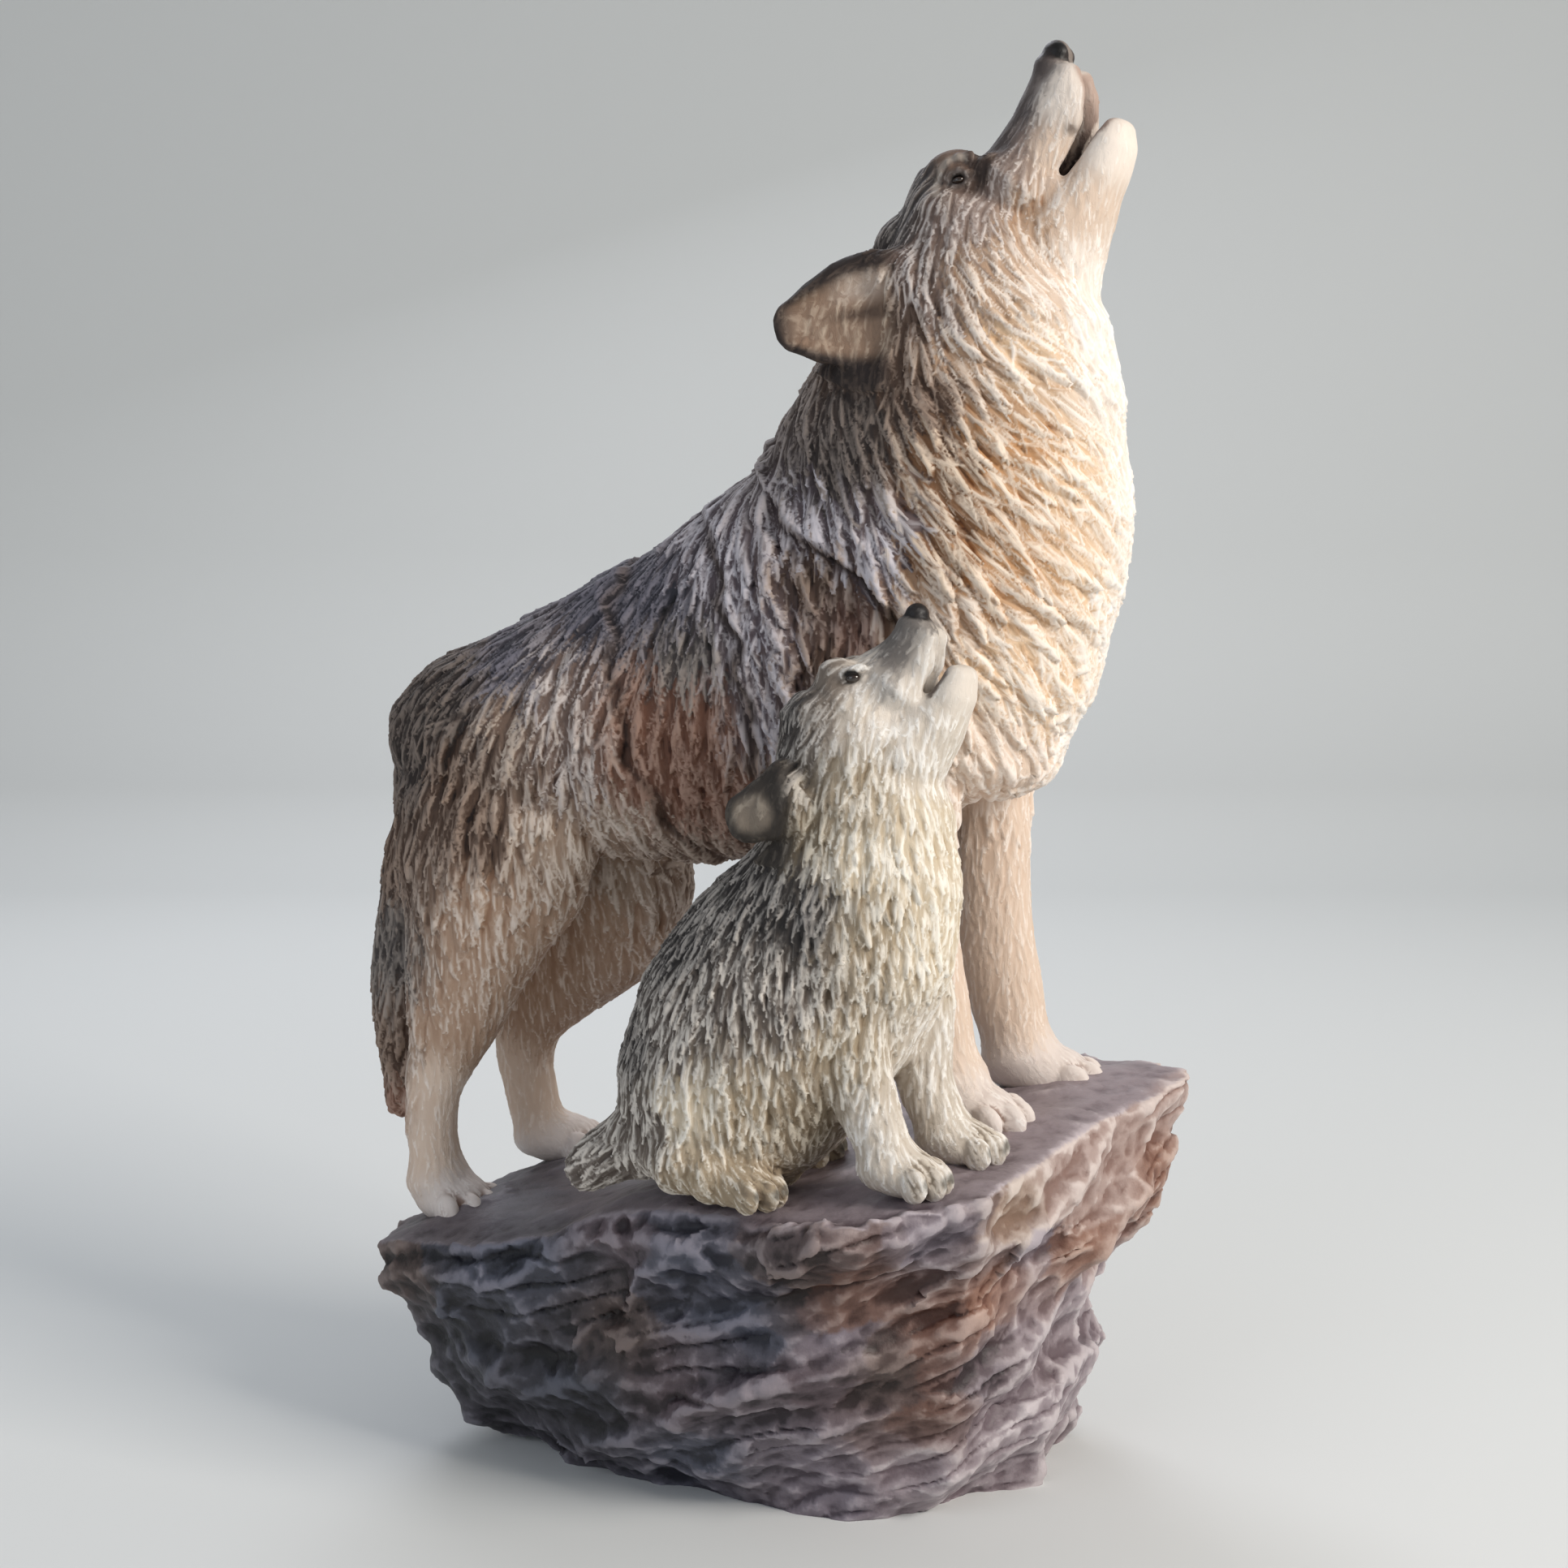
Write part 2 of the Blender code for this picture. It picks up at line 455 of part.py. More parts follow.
def coat_layers(points):
    """How far the flank and the shoulder lie under the long hair of mane, band, back and thigh."""
    heights = np.array(LAYER_HEIGHTS) * MM
    mane, front, back, thigh = [
        step(points[:, 0] - np.interp(points[:, 2], heights, np.array(edge) * MM))
        for edge in (MANE_EDGE, BAND_FRONT, BAND_BACK, THIGH_FRONT)]
    over_legs = np.clip((points[:, 2] - heights[0]) / LEG_FADE + 1, 0, 1)
    return over_legs * ((back - front) * BAND_RISE + (1 - thigh) * THIGH_RISE
                        - (1 - mane) * MANE_RISE + (1 - back) * BACK_RISE)


def ramp(values, low, high):
    """0 at low, 1 at high and smooth between."""
    share = np.clip((values - low) / (high - low), 0, 1)
    return share * share * (3 - 2 * share)


def hollow_ears(points, normals):
    """The outer faces of the adult's ears cupped inside an even rim."""
    drawn = points / MM
    out = np.sign(drawn[:, 1])
    along = (EAR_SPAN[0] - drawn[:, 0]) / (EAR_SPAN[0] - EAR_SPAN[1])
    middle = EAR_MIDDLE[0] + (EAR_MIDDLE[1] - EAR_MIDDLE[0]) * along
    half = np.interp(along, np.linspace(0, 1, len(EAR_HEIGHTS)), EAR_HEIGHTS)
    across = np.abs(drawn[:, 2] - middle) / half
    inside = ramp(1 - across, 0.08, 0.62) * ramp(along, 0, 0.3) * ramp(1 - along, 0.04, 0.3)
    outer = ramp(normals[:, 1] * out, 0.1, 0.6) * (np.abs(drawn[:, 1]) > EAR_OUTSIDE)
    cupped = points.copy()
    cupped[:, 1] -= out * EAR_CUP * inside * outer
    return cupped


def turned_head(points):
    """The adult's points with the head turned a little to the pup's side."""
    angle = -HEAD_TURN * ramp(points[:, 2], HEAD_TURN_FROM, HEAD_TURN_TO)
    ahead = points[:, 0] - HEAD_PIVOT
    turned = points.copy()
    turned[:, 0] = HEAD_PIVOT + ahead * np.cos(angle) - points[:, 1] * np.sin(angle)
    turned[:, 1] = ahead * np.sin(angle) + points[:, 1] * np.cos(angle)
    return turned


def stance(place, yaw, scale):
    """The matrix that sizes an animal, turns it and stands it on the rock."""
    return (Matrix.Translation((*place, GROUND + PAW_LIFT)) @ Matrix.Rotation(-yaw, 4, "Z")
            @ Matrix.Scale(scale, 4))


def adult_stance():
    return stance(ADULT_PLACE, ADULT_YAW, ADULT_HEIGHT / (DRAWN_ADULT * MM))


def pup_stance():
    return stance(PUP_PLACE, PUP_YAW, PUP_HEIGHT / (DRAWN_PUP * MM))


def adult():
    body = fused("adult_body", adult_body, BODY_ROUNDS)
    whole = fused("adult_whole", adult_head, HEAD_ROUNDS, body)
    mesh = fused("adult", adult_features, 1, whole)
    store(mesh, hollow_ears(*arrays(mesh)))
    points, normals = arrays(mesh)
    heights, depth = lock_heights(points, normals, ADULT_COAT, ADULT_LOCK_SPACING)
    rise = heights - LOCK_SINK * depth + coat_layers(points)
    store(mesh, turned_head(points + normals * rise[:, None]))
    mesh.transform(adult_stance())
    return mesh


def pup():
    body = fused("pup_body", pup_body, HEAD_ROUNDS)
    whole = fused("pup_whole", pup_head, HEAD_ROUNDS - 1, body)
    mesh = fused("pup", pup_features, 1, whole)
    points, normals = arrays(mesh)
    heights, depth = lock_heights(points, normals, PUP_COAT, PUP_LOCK_SPACING)
    store(mesh, points + normals * (heights - LOCK_SINK * depth)[:, None])
    mesh.transform(pup_stance())
    return mesh


# Courses of the rock from the right, by the front, left and back: the rim and the foot of the top
# slab are across, in depth and below the standing plane, the others across, in depth and up.
RIM = ((129, -5, 3), (108, -32, 4), (84, -60, 3), (55, -96, 4), (18, -101, 4), (-22, -80, -3),
       (-60, -58, -3), (-100, -32, 2), (-133, -6, 1), (-118, 32, 2), (-72, 60, 1), (-15, 66, 1),
       (45, 54, 0), (98, 28, 0))
SLAB_FOOT = ((123, -4, 37), (104, -30, 39), (82, -56, 40), (54, -86, 39), (16, -90, 35),
             (-24, -74, 25), (-62, -56, 21), (-98, -30, 17), (-131, -5, 12), (-113, 30, 16),
             (-68, 55, 21), (-12, 60, 26), (44, 50, 29), (94, 26, 33))
WAIST = ((96, -2, 53), (86, -28, 49), (73, -50, 46), (48, -78, 46), (12, -82, 44), (-28, -70, 42),
         (-64, -50, 42), (-100, -26, 42), (-122, 0, 42), (-104, 30, 40), (-62, 52, 42),
         (-10, 58, 46), (42, 50, 50), (80, 26, 51))
BOULDER = ((103, 2, 35), (95, -25, 28), (78, -48, 24), (48, -68, 22), (12, -70, 22), (-26, -60, 20),
           (-60, -42, 20), (-90, -20, 20), (-112, 2, 20), (-92, 28, 20), (-54, 46, 20), (-8, 54, 22),
           (42, 52, 25), (84, 32, 28))
FOOTING = ((84, 4), (80, -18), (66, -38), (42, -54), (10, -54), (-20, -46), (-42, -30), (-56, -14),
           (-64, 2), (-54, 22), (-32, 38), (-2, 48), (38, 46), (70, 28))


def standing(across):
    """Height of the sloping plane that the paws stand on."""
    return GROUND + math.tan(ROCK_TILT) * across


def rock_cage():
    """The rock's courses, bridged from the foot to the rim and closed over the top."""
    long, deep = ROCK_LENGTH / DRAWN_LENGTH, ROCK_DEPTH / DRAWN_DEPTH
    courses = [[Vector((x * long, y * deep, -BASE_SINK)) for x, y in FOOTING]]
    courses += [[Vector((x * long, y * deep, z * MM)) for x, y, z in course] for course in (BOULDER, WAIST)]
    courses += [[Vector((x * long, y * deep, standing(x * long) - drop * MM)) for x, y, drop in course]
                for course in (SLAB_FOOT, RIM)]
    courses.append([Vector((p.x * TOP_SHARE, p.y * TOP_SHARE, standing(p.x * TOP_SHARE) + TOP_RISE))
                    for p in courses[-1]])
    bm = bmesh.new()
    loops = []
    for course in courses:
        verts = [bm.verts.new(point) for point in course]
        loops.append([bm.edges.new((verts[i - 1], verts[i])) for i in range(len(verts))])
    for lower, upper in zip(loops, loops[1:]):
        bmesh.ops.bridge_loops(bm, edges=lower + upper)
    for loop in (loops[0], loops[-1]):
        bmesh.ops.contextual_create(bm, geom=loop)
    bmesh.ops.recalc_face_normals(bm, faces=bm.faces)
    mesh = bpy.data.meshes.new("rock")
    bm.to_mesh(mesh)
    bm.free()
    return mesh


def breaks(points):
    """How far each point rises between scooped breaks that meet in sharp ridges."""
    lean = math.cos(STRATA_TILT), math.sin(STRATA_TILT)
    grain = points.copy()
    grain[:, 0] = (points[:, 0] * lean[0] + points[:, 2] * lean[1]) / BREAK_STRETCH
    grain[:, 2] = points[:, 2] * lean[0] - points[:, 0] * lean[1]
    seeds, cells = seeded(grain, BREAK_SIZE)
    slopes = BREAK_SLOPE * (2 * np.stack([scattered(cells, salt) for salt in (4, 5, 6)], axis=1) - 1)
    tree = planted(grain[seeds])
    near = np.array([[found[1] for found in tree.find_n(point, NEAREST_BREAKS)] for point in grain])
    offset = grain[:, None, :] - grain[seeds][near]
    rises = (offset * slopes[near]).sum(axis=2) + BREAK_SCOOP / BREAK_SIZE * (offset ** 2).sum(axis=2)
    lowest = rises.min(axis=1)
    return lowest - np.median(lowest)


def rock():
    """The cage broken into strata and scooped breaks, with a deep hollow under the pup."""
    mesh = remeshed("rock", rock_cage(), ROCK_VOXEL, ROCK_ROUNDS)
    points, normals = arrays(mesh)
    upright = np.clip(1.6 - 2 * np.abs(normals[:, 2]), 0, 1)
    top = np.clip((normals[:, 2] - 0.7) / 0.15, 0, 1) * (points[:, 2] > GROUND / 2)
    wave = np.array([noise.noise(Vector(p) / STRATA_WAVE_LENGTH) for p in points]) * STRATA_WAVE
    height = points[:, 2] * math.cos(STRATA_TILT) - points[:, 0] * math.sin(STRATA_TILT) + wave
    part = (height / STRATA_STEP) % 1
    rising = np.where(part < LEDGE_SHARE, part / LEDGE_SHARE, (1 - part) / (1 - LEDGE_SHARE))
    ledge = STRATA_DEPTH * (rising - 0.5) * upright
    scoop = np.exp(-((points[:, 0] - SCOOP_PLACE[0]) / SCOOP_REACH[0]) ** 2
                   - ((points[:, 2] - SCOOP_PLACE[1]) / SCOOP_REACH[1]) ** 2)
    scoop *= SCOOP_DEPTH * (normals[:, 1] < -0.3)
    away = np.hypot(points[:, 0] - MOUND_PLACE[0], points[:, 1] - MOUND_PLACE[1]) / MOUND_REACH
    mound = MOUND_RISE * np.clip(1 - away ** 2, 0, 1) * top
    rise = ledge - scoop + mound + breaks(points) * (1 - (1 - TOP_BREAK_SHARE) * top)
    store(mesh, points + normals * rise[:, None])
    return mesh


def thinned(skin, count):
    """The skin with fewer triangles, and the most of them kept on the two faces and the paws."""
    body = bpy.data.objects.new("skin", skin)
    bpy.context.scene.collection.objects.link(body)
    points, _ = arrays(skin)
    faces = [adult_stance() @ frame_point(88, 300), pup_stance() @ frame_point(36, 148)]
    away = np.min([np.linalg.norm(points - np.array(face), axis=1) for face in faces], axis=0)
    on_rock = points[:, 2] < standing(points[:, 0]) + TOP_RISE
    keep = np.where(on_rock, 0, np.maximum(COAT_SHARE, np.clip(1.5 - away / FINE_REACH, 0, MOST_KEPT)))
    group = body.vertex_groups.new(name="animals")
    for i in np.flatnonzero(keep > 0):
        group.add([int(i)], float(keep[i]), "REPLACE")
    thin = body.modifiers.new("Thin", "DECIMATE")
    thin.ratio = count / (2 * len(skin.polygons))
    thin.vertex_group = group.name
    thin.invert_vertex_group = True
    thin.vertex_group_factor = FINE_WEIGHT
    thin.use_collapse_triangulate = True
    graph = bpy.context.evaluated_depsgraph_get()
    mesh = bpy.data.meshes.new_from_object(body.evaluated_get(graph))
    bpy.data.objects.remove(body)
    return mesh


def flat_based(mesh):
    """The mesh cut level at the floor and closed with a flat base."""
    bm = bmesh.new()
    bm.from_mesh(mesh)
    geom = bm.verts[:] + bm.edges[:] + bm.faces[:]
    cut = bmesh.ops.bisect_plane(bm, geom=geom, plane_co=(0, 0, 0), plane_no=(0, 0, -1),
                                 clear_outer=True)["geom_cut"]
    bmesh.ops.contextual_create(bm, geom=[e for e in cut if isinstance(e, bmesh.types.BMEdge)])
    bmesh.ops.dissolve_degenerate(bm, edges=bm.edges, dist=0.02 * MM)
    bmesh.ops.triangulate(bm, faces=bm.faces)
    bmesh.ops.recalc_face_normals(bm, faces=bm.faces)
    bm.to_mesh(mesh)
    bm.free()
    return mesh


def painted_resin():
    material = bpy.data.materials.new("painted_resin")
    material.use_nodes = True
    shader = material.node_tree.nodes["Principled BSDF"]
    shader.inputs["Base Color"].default_value = (0.42, 0.33, 0.27, 1)
    shader.inputs["Roughness"].default_value = 0.55
    shader.inputs["Metallic"].default_value = 0.0
    return material


def main():
    for item in list(bpy.data.objects):
        bpy.data.objects.remove(item)
    joined = bmesh.new()
    for made in (adult(), pup(), rock()):
        joined.from_mesh(made)
    mesh = bpy.data.meshes.new("wolf_figurine")
    joined.to_mesh(mesh)
    joined.free()
    skin = remeshed("skin", mesh, SKIN_VOXEL, 1)
    cast = flat_based(thinned(skin, TRIANGLES))
    cast.materials.append(painted_resin())
    collection = bpy.data.collections.new("wolf_figurine")
    bpy.context.scene.collection.children.link(collection)
    collection.objects.link(bpy.data.objects.new("wolf_figurine", cast))


main()
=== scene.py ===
"""Wolf figurine: looks of the cast and painted statue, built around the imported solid."""

import math

import bmesh
import bpy
import numpy as np
from mathutils import Matrix, Vector, kdtree, noise


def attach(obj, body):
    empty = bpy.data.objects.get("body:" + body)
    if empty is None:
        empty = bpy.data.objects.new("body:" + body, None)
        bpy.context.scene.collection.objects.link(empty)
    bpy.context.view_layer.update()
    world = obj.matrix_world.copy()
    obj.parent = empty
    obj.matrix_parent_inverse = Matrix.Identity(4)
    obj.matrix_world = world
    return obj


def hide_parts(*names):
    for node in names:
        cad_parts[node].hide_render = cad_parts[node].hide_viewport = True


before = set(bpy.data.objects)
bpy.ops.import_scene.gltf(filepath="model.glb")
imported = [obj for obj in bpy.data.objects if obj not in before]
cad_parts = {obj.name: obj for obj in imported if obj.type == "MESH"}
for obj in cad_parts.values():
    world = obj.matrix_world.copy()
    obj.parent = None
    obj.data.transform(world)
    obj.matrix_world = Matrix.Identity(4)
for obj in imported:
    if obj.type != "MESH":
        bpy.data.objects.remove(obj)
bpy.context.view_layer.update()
MM = 0.001
COARSER = 1.0

# The adult wolf: clay forms
# The sculptor builds the animal from simple masses and blends them with a thumb. Here each mass is
# a loft or a ball, drawn in millimetres forward, up and to the side of the animal, and a fine
# voxel skin blends them. Height zero is the middle of the slope, so the fore paws stand above it.
ADULT_FOOT = Vector((-7, 2, 100)) * MM
ADULT_YAW = math.radians(17)
HEAD_TURN = math.radians(9)
HEAD_PIVOT = (66, 0)
SECTION_SIDES = 24
BODY_VOXEL = 1.5 * MM * COARSER
HEAD_VOXEL = 0.95 * MM * COARSER
ADULT_VOXEL = 0.66 * MM * COARSER
PAW_SIZE = (17, 11, 8.5)
PAWS = ((87, 21, 21, 12), (73, 17.5, -21, -12), (-79, -13.5, 23, 12), (-97, -23, -23, -24))
EYE_PLACE = (67.8, 290.4, 16.4)
EYE_RADII = (1.9, 1.6, 1.05)
#   forward and up from the eye, half height or half width
LIDS = ((-3.2, 0.6, 1.5), (-1.8, 2.1, 1.5), (0.4, 2.6, 1.4), (2.4, 1.7, 1.2),
        (-2.0, -1.7, 1.3), (0.4, -2.1, 1.3), (2.4, -1.3, 1.2))
EYE_FOLDS = ((-7.2, -3.4, 2.2), (-7.0, -0.6, 2.4), (-5.8, 2.4, 2.4), (-3.6, 4.8, 2.2),
             (-0.6, 6.2, 1.8), (2.4, 6.6, 1.4))


def at(forward, up, side=0.0):
    return Vector((forward, side, up)) * MM


def tube(bm, stations, scoop=(0, 0), share=0.0):
    """Oval sections (forward, up, side, half depth, half width), bridged and closed at both ends."""
    centres = [at(*station[:3]) for station in stations]
    rings = []
    for i, station in enumerate(stations):
        along = (centres[min(i + 1, len(centres) - 1)] - centres[max(i - 1, 0)]).normalized()
        side = Vector((0, 1, 0))
        side = (side - along * side.dot(along)).normalized()
        turn = Matrix((side.cross(along), side, along)).transposed().to_4x4()
        size = Matrix.Diagonal((station[3] * MM, station[4] * MM, 1, 1))
        ring = bmesh.ops.create_circle(bm, segments=SECTION_SIDES, radius=1)["verts"]
        for vert in ring:
            facing = vert.co.x * scoop[0] + vert.co.y * scoop[1]
            vert.co *= 1 - share * max(facing, 0) ** 4
        bmesh.ops.transform(bm, matrix=Matrix.Translation(centres[i]) @ turn @ size, verts=ring)
        rings.append(ring)
    for lower, upper in zip(rings, rings[1:]):
        edges = {edge for vert in lower + upper for edge in vert.link_edges
                 if set(edge.verts) <= set(lower) or set(edge.verts) <= set(upper)}
        bmesh.ops.bridge_loops(bm, edges=list(edges))
    bm.faces.new(rings[0])
    bm.faces.new(rings[-1])


def ball(bm, centre, radii, pitch=0.0, yaw=0.0):
    """An ellipsoid with half lengths forward, sideways and up in millimetres, tipped and turned."""
    place = (Matrix.Translation(centre) @ Matrix.Rotation(yaw, 4, "Z")
             @ Matrix.Rotation(-pitch, 4, "Y") @ Matrix.Diagonal((*radii, 1)))
    bmesh.ops.create_uvsphere(bm, u_segments=20, v_segments=12, radius=MM, matrix=place)


def insteps(bm, paws, size):
    for forward, up, side, turn in paws:
        ball(bm, at(forward, up, side), (size[0] * 0.85, size[1], size[2]), yaw=math.radians(turn))


#   across and ahead of the instep, as shares of the paw's width and length
TOE_PLACES = ((-0.84, 0.46), (-0.29, 0.74), (0.29, 0.74), (0.84, 0.46))


def toes(bm, paws, size):
    """Four round toes in an arc ahead of each instep."""
    length, width, height = size
    for forward, up, side, turn in paws:
        yaw = math.radians(turn)
        for across, ahead in TOE_PLACES:
            reach = Vector((ahead * length, across * width, -0.22 * height))
            reach = Matrix.Rotation(yaw, 3, "Z") @ reach
            ball(bm, at(forward, up, side) + reach * MM,
                 (length * 0.34, width * 0.28, height * 0.72), yaw=yaw + across * 0.2)


def adult_body(bm):
    insteps(bm, PAWS, PAW_SIZE)
    tube(bm, [(-118, 112, 0, 14, 12), (-108, 118, 0, 26, 24), (-90, 122, 0, 33, 31),
              (-65, 126, 0, 40, 33), (-40, 132, 0, 46, 32), (-15, 138, 0, 54, 34),
              (10, 146, 0, 60, 37), (45, 162, 0, 60, 38), (70, 164, 0, 48, 34),
              (92, 168, 0, 26, 22)])
    tube(bm, [(44, 118, 0, 34, 26), (49, 140, 0, 48, 34), (54, 162, 0, 52, 38),
              (58, 200, 0, 56, 38), (64, 225, 0, 49, 36), (68, 245, 0, 42, 33),
              (69, 260, 0, 34, 30), (68, 270, 0, 22, 21)])
    tube(bm, [(-76, 132, -10, 18, 10), (-82, 110, -14, 32, 16), (-84, 90, -16, 34, 17),
              (-89, 68, -18, 27, 15), (-93, 50, -20, 20, 12), (-97.5, 32, -21, 15, 9.5),
              (-102, 18, -22, 10.5, 8), (-104, 4, -23, 8.5, 7.5), (-103, -10, -23, 8.5, 8),
              (-101, -24, -23, 8.5, 8)])
    tube(bm, [(-68, 130, 10, 16, 10), (-64, 108, 14, 29, 15), (-58, 85, 16, 28, 16),
              (-60, 66, 18, 25, 13), (-72, 48, 20, 19, 11), (-86, 32, 21, 14, 9),
              (-91, 19, 22, 11, 8), (-90, 5, 23, 9.5, 7.5), (-87, -8, 23, 9, 8),
              (-84, -18, 23, 8, 8)])
    for side, back in ((21, 0), (-21, 14)):
        tube(bm, [(52 - back / 2, 184, side * 0.5, 14, 10), (58 - back / 2, 160, side * 0.8, 22, 15),
                  (64 - back * 0.8, 138, side, 17, 13), (67 - back, 118, side, 14, 11),
                  (69 - back, 92, side, 12.5, 10), (70 - back, 68, side, 12.5, 9.5),
                  (73.5 - back, 47, side, 12.5, 9), (77 - back, 33, side, 11, 9.5),
                  (81 - back, 18, side, 10, 9)])
    tube(bm, [(-104, 122, 0, 11, 9), (-115, 95, -1, 11, 9), (-120, 72, -2, 11, 9),
              (-122, 48, -3, 11.5, 9.5), (-122, 25, -4, 10, 9), (-123, 8, -4, 6, 6),
              (-125, -3, -4, 2, 2)])


def adult_head(bm):
    """Skull, muzzle, lips, jaw, brows and ears."""
    tube(bm, [(62, 228, 0, 26, 22), (64, 244, 0, 38, 31), (66, 258, 0, 35, 31), (65, 273, 0, 28, 26),
              (61, 285, 0, 18, 20), (59, 292, 0, 11.5, 15), (60, 297, 0, 6, 9)])
    tube(bm, [(60, 270, 0, 20, 20), (69, 281, 0, 16, 18), (77, 292, 0, 10.5, 13),
              (82.5, 302, 0, 7.6, 9.6), (87.3, 312, 0, 6.6, 8), (90.2, 320, 0, 5.8, 6.8),
              (91.5, 326, 0, 4.4, 5.4)])
    for side in (-1, 1):
        tube(bm, [(78, 283, side * 11, 8, 6.5), (87, 295, side * 9.6, 8.4, 5),
                  (92.2, 304.5, side * 7.9, 8.6, 4.2), (94.9, 312.5, side * 6.8, 7.8, 4),
                  (96.2, 319, side * 5.6, 5, 3.4), (96.4, 322.3, side * 4.4, 2.4, 2.2)])
        ball(bm, at(92.4, 286.5, side * 8.5), (5.6, 4.2, 4.6), pitch=math.radians(62))
        ball(bm, at(63, 294.2, side * 9.5), (9, 6.6, 6), pitch=math.radians(12))
        ball(bm, at(64, 281, side * 18), (9, 6, 7))
        ball(bm, at(74.5, 292, side * 12), (7, 5, 5), pitch=math.radians(50))
        tube(bm, [(60, 251.5, side * 19, 18, 8), (47, 252.5, side * 22.5, 18, 7),
                  (38, 251.8, side * 25.5, 17.6, 6), (29, 250.2, side * 28, 13.8, 5.2),
                  (20, 248.8, side * 29.5, 8.6, 4.4), (14, 248, side * 30, 3.6, 3.2)])
    ball(bm, at(46, 275), (13, 15, 9), pitch=math.radians(50))
    ball(bm, at(94, 259), (11, 13, 13))
    tube(bm, [(72, 256, 0, 24, 24), (87, 268, 0, 19, 19.5), (97, 279.5, 0, 13.2, 14),
              (103, 289, 0, 9.6, 11), (107.6, 297.2, 0, 8, 9.4), (110, 303.4, 0, 5.6, 7),
              (110.8, 306.6, 0, 2.4, 3.6)],
         scoop=(-1, 0), share=0.7)


def adult_features(bm):
    """Nose, lids, the folds round the eyes, and toes."""
    ball(bm, at(91.4, 326.2), (4.4, 5.2, 4.2), pitch=math.radians(60))
    for side in (-1, 1):
        ball(bm, at(92.4, 326, side * 2.9), (3.4, 2.6, 3.6), pitch=math.radians(60))
        forward, up, out = EYE_PLACE
        for ahead, rise, half in LIDS:
            ball(bm, at(forward + ahead, up + rise, side * (out - 0.1)), (2.2, 1.7, half))
        for ahead, rise, half in EYE_FOLDS:
            ball(bm, at(forward + ahead, up + rise, side * (out - 2.0)), (1.8, half, 2.0),
                 pitch=math.radians(40))
    toes(bm, PAWS, PAW_SIZE)


def worked(mesh, *steps):
    """The mesh after modifiers, each given as its kind and its settings."""
    body = bpy.data.objects.new(mesh.name, mesh)
    bpy.context.scene.collection.objects.link(body)
    for kind, settings in steps:
        step = body.modifiers.new(kind.title(), kind)
        for name, value in settings.items():
            setattr(step, name, value)
    graph = bpy.context.evaluated_depsgraph_get()
    made = bpy.data.meshes.new_from_object(body.evaluated_get(graph))
    bpy.data.objects.remove(body)
    return made


def remeshed(mesh, voxel, rounds):
    """The mesh as a voxel skin, eased by rounds of smoothing."""
    return worked(mesh, ("REMESH", {"mode": "VOXEL", "voxel_size": voxel}),
                  ("SMOOTH", {"iterations": rounds}))


def thinned(mesh, triangles):
    """The skin with no more triangles than asked, fewest where it is flat."""
    return worked(mesh, ("DECIMATE", {"ratio": min(1, triangles / 2 / len(mesh.polygons))}))


def skin(name, build, voxel, rounds, start=None):
    """What a build draws, with an earlier skin, as one voxel skin eased by rounds of smoothing."""
    bm = bmesh.new()
    build(bm)
    bmesh.ops.recalc_face_normals(bm, faces=bm.faces)
    bmesh.ops.subdivide_edges(bm, edges=bm.edges, cuts=1, smooth=1.0, use_grid_fill=True)
    if start:
        bm.from_mesh(start)
    mesh = bpy.data.meshes.new(name)
    bm.to_mesh(mesh)
    bm.free()
    return remeshed(mesh, voxel, rounds)


def arrays(mesh):
    """Points and outward normals of a mesh as rows."""
    points = np.empty(len(mesh.vertices) * 3, np.float32)
    normals = np.empty(len(mesh.vertices) * 3, np.float32)
    mesh.vertices.foreach_get("co", points)
    mesh.vertex_normals.foreach_get("vector", normals)
    return points.reshape(-1, 3), normals.reshape(-1, 3)


def move(mesh, points):
    mesh.vertices.foreach_set("co", points.astype(np.float32).ravel())
    mesh.update()


def ramp(values, low, high):
    """0 at low, 1 at high and smooth between."""
    share = np.clip((values - low) / (high - low), 0, 1)
    return share * share * (3 - 2 * share)


EAR_SPAN = (52, 11)
EAR_MIDDLE = (252.5, 248)
EAR_HEIGHTS = (17.6, 17.4, 16.0, 12.4, 7.8, 3.2)
EAR_CUP = 4.6


def ear_places(drawn):
    """How far along an ear each point is, how far across, and whether it is on an ear."""
    along = (EAR_SPAN[0] - drawn[:, 0]) / (EAR_SPAN[0] - EAR_SPAN[1])
    middle = EAR_MIDDLE[0] + (EAR_MIDDLE[1] - EAR_MIDDLE[0]) * along
    half = np.interp(along, np.linspace(0, 1, len(EAR_HEIGHTS)), EAR_HEIGHTS)
    across = (drawn[:, 2] - middle) / half
    on_ear = ramp(along, 0.0, 0.16) * (along < 1.1)
    on_ear = on_ear * (np.abs(drawn[:, 1]) > 19) * (np.abs(across) < 1.3)
    return along, across, on_ear


def hollow_ears(mesh):
    """The ears' outer faces cupped, so that a rim of even thickness stands round them."""
    points, normals = arrays(mesh)
    drawn = points / MM
    out = np.sign(drawn[:, 1])
    along, across, _ = ear_places(drawn)
    inside = ramp(1 - np.abs(across), 0.08, 0.62)
    inside = inside * ramp(along, 0.0, 0.3) * ramp(1 - along, 0.04, 0.3)
    outer = ramp(normals[:, 1] * out, 0.1, 0.6) * (np.abs(drawn[:, 1]) > 20)
    points[:, 1] -= out * EAR_CUP * MM * inside * outer
    move(mesh, points)


adult_form = skin("adult_body", adult_body, BODY_VOXEL, 8)
adult_form = skin("adult_head", adult_head, HEAD_VOXEL, 3, adult_form)
adult_form = skin("adult_skin", adult_features, ADULT_VOXEL, 2, adult_form)
hollow_ears(adult_form)

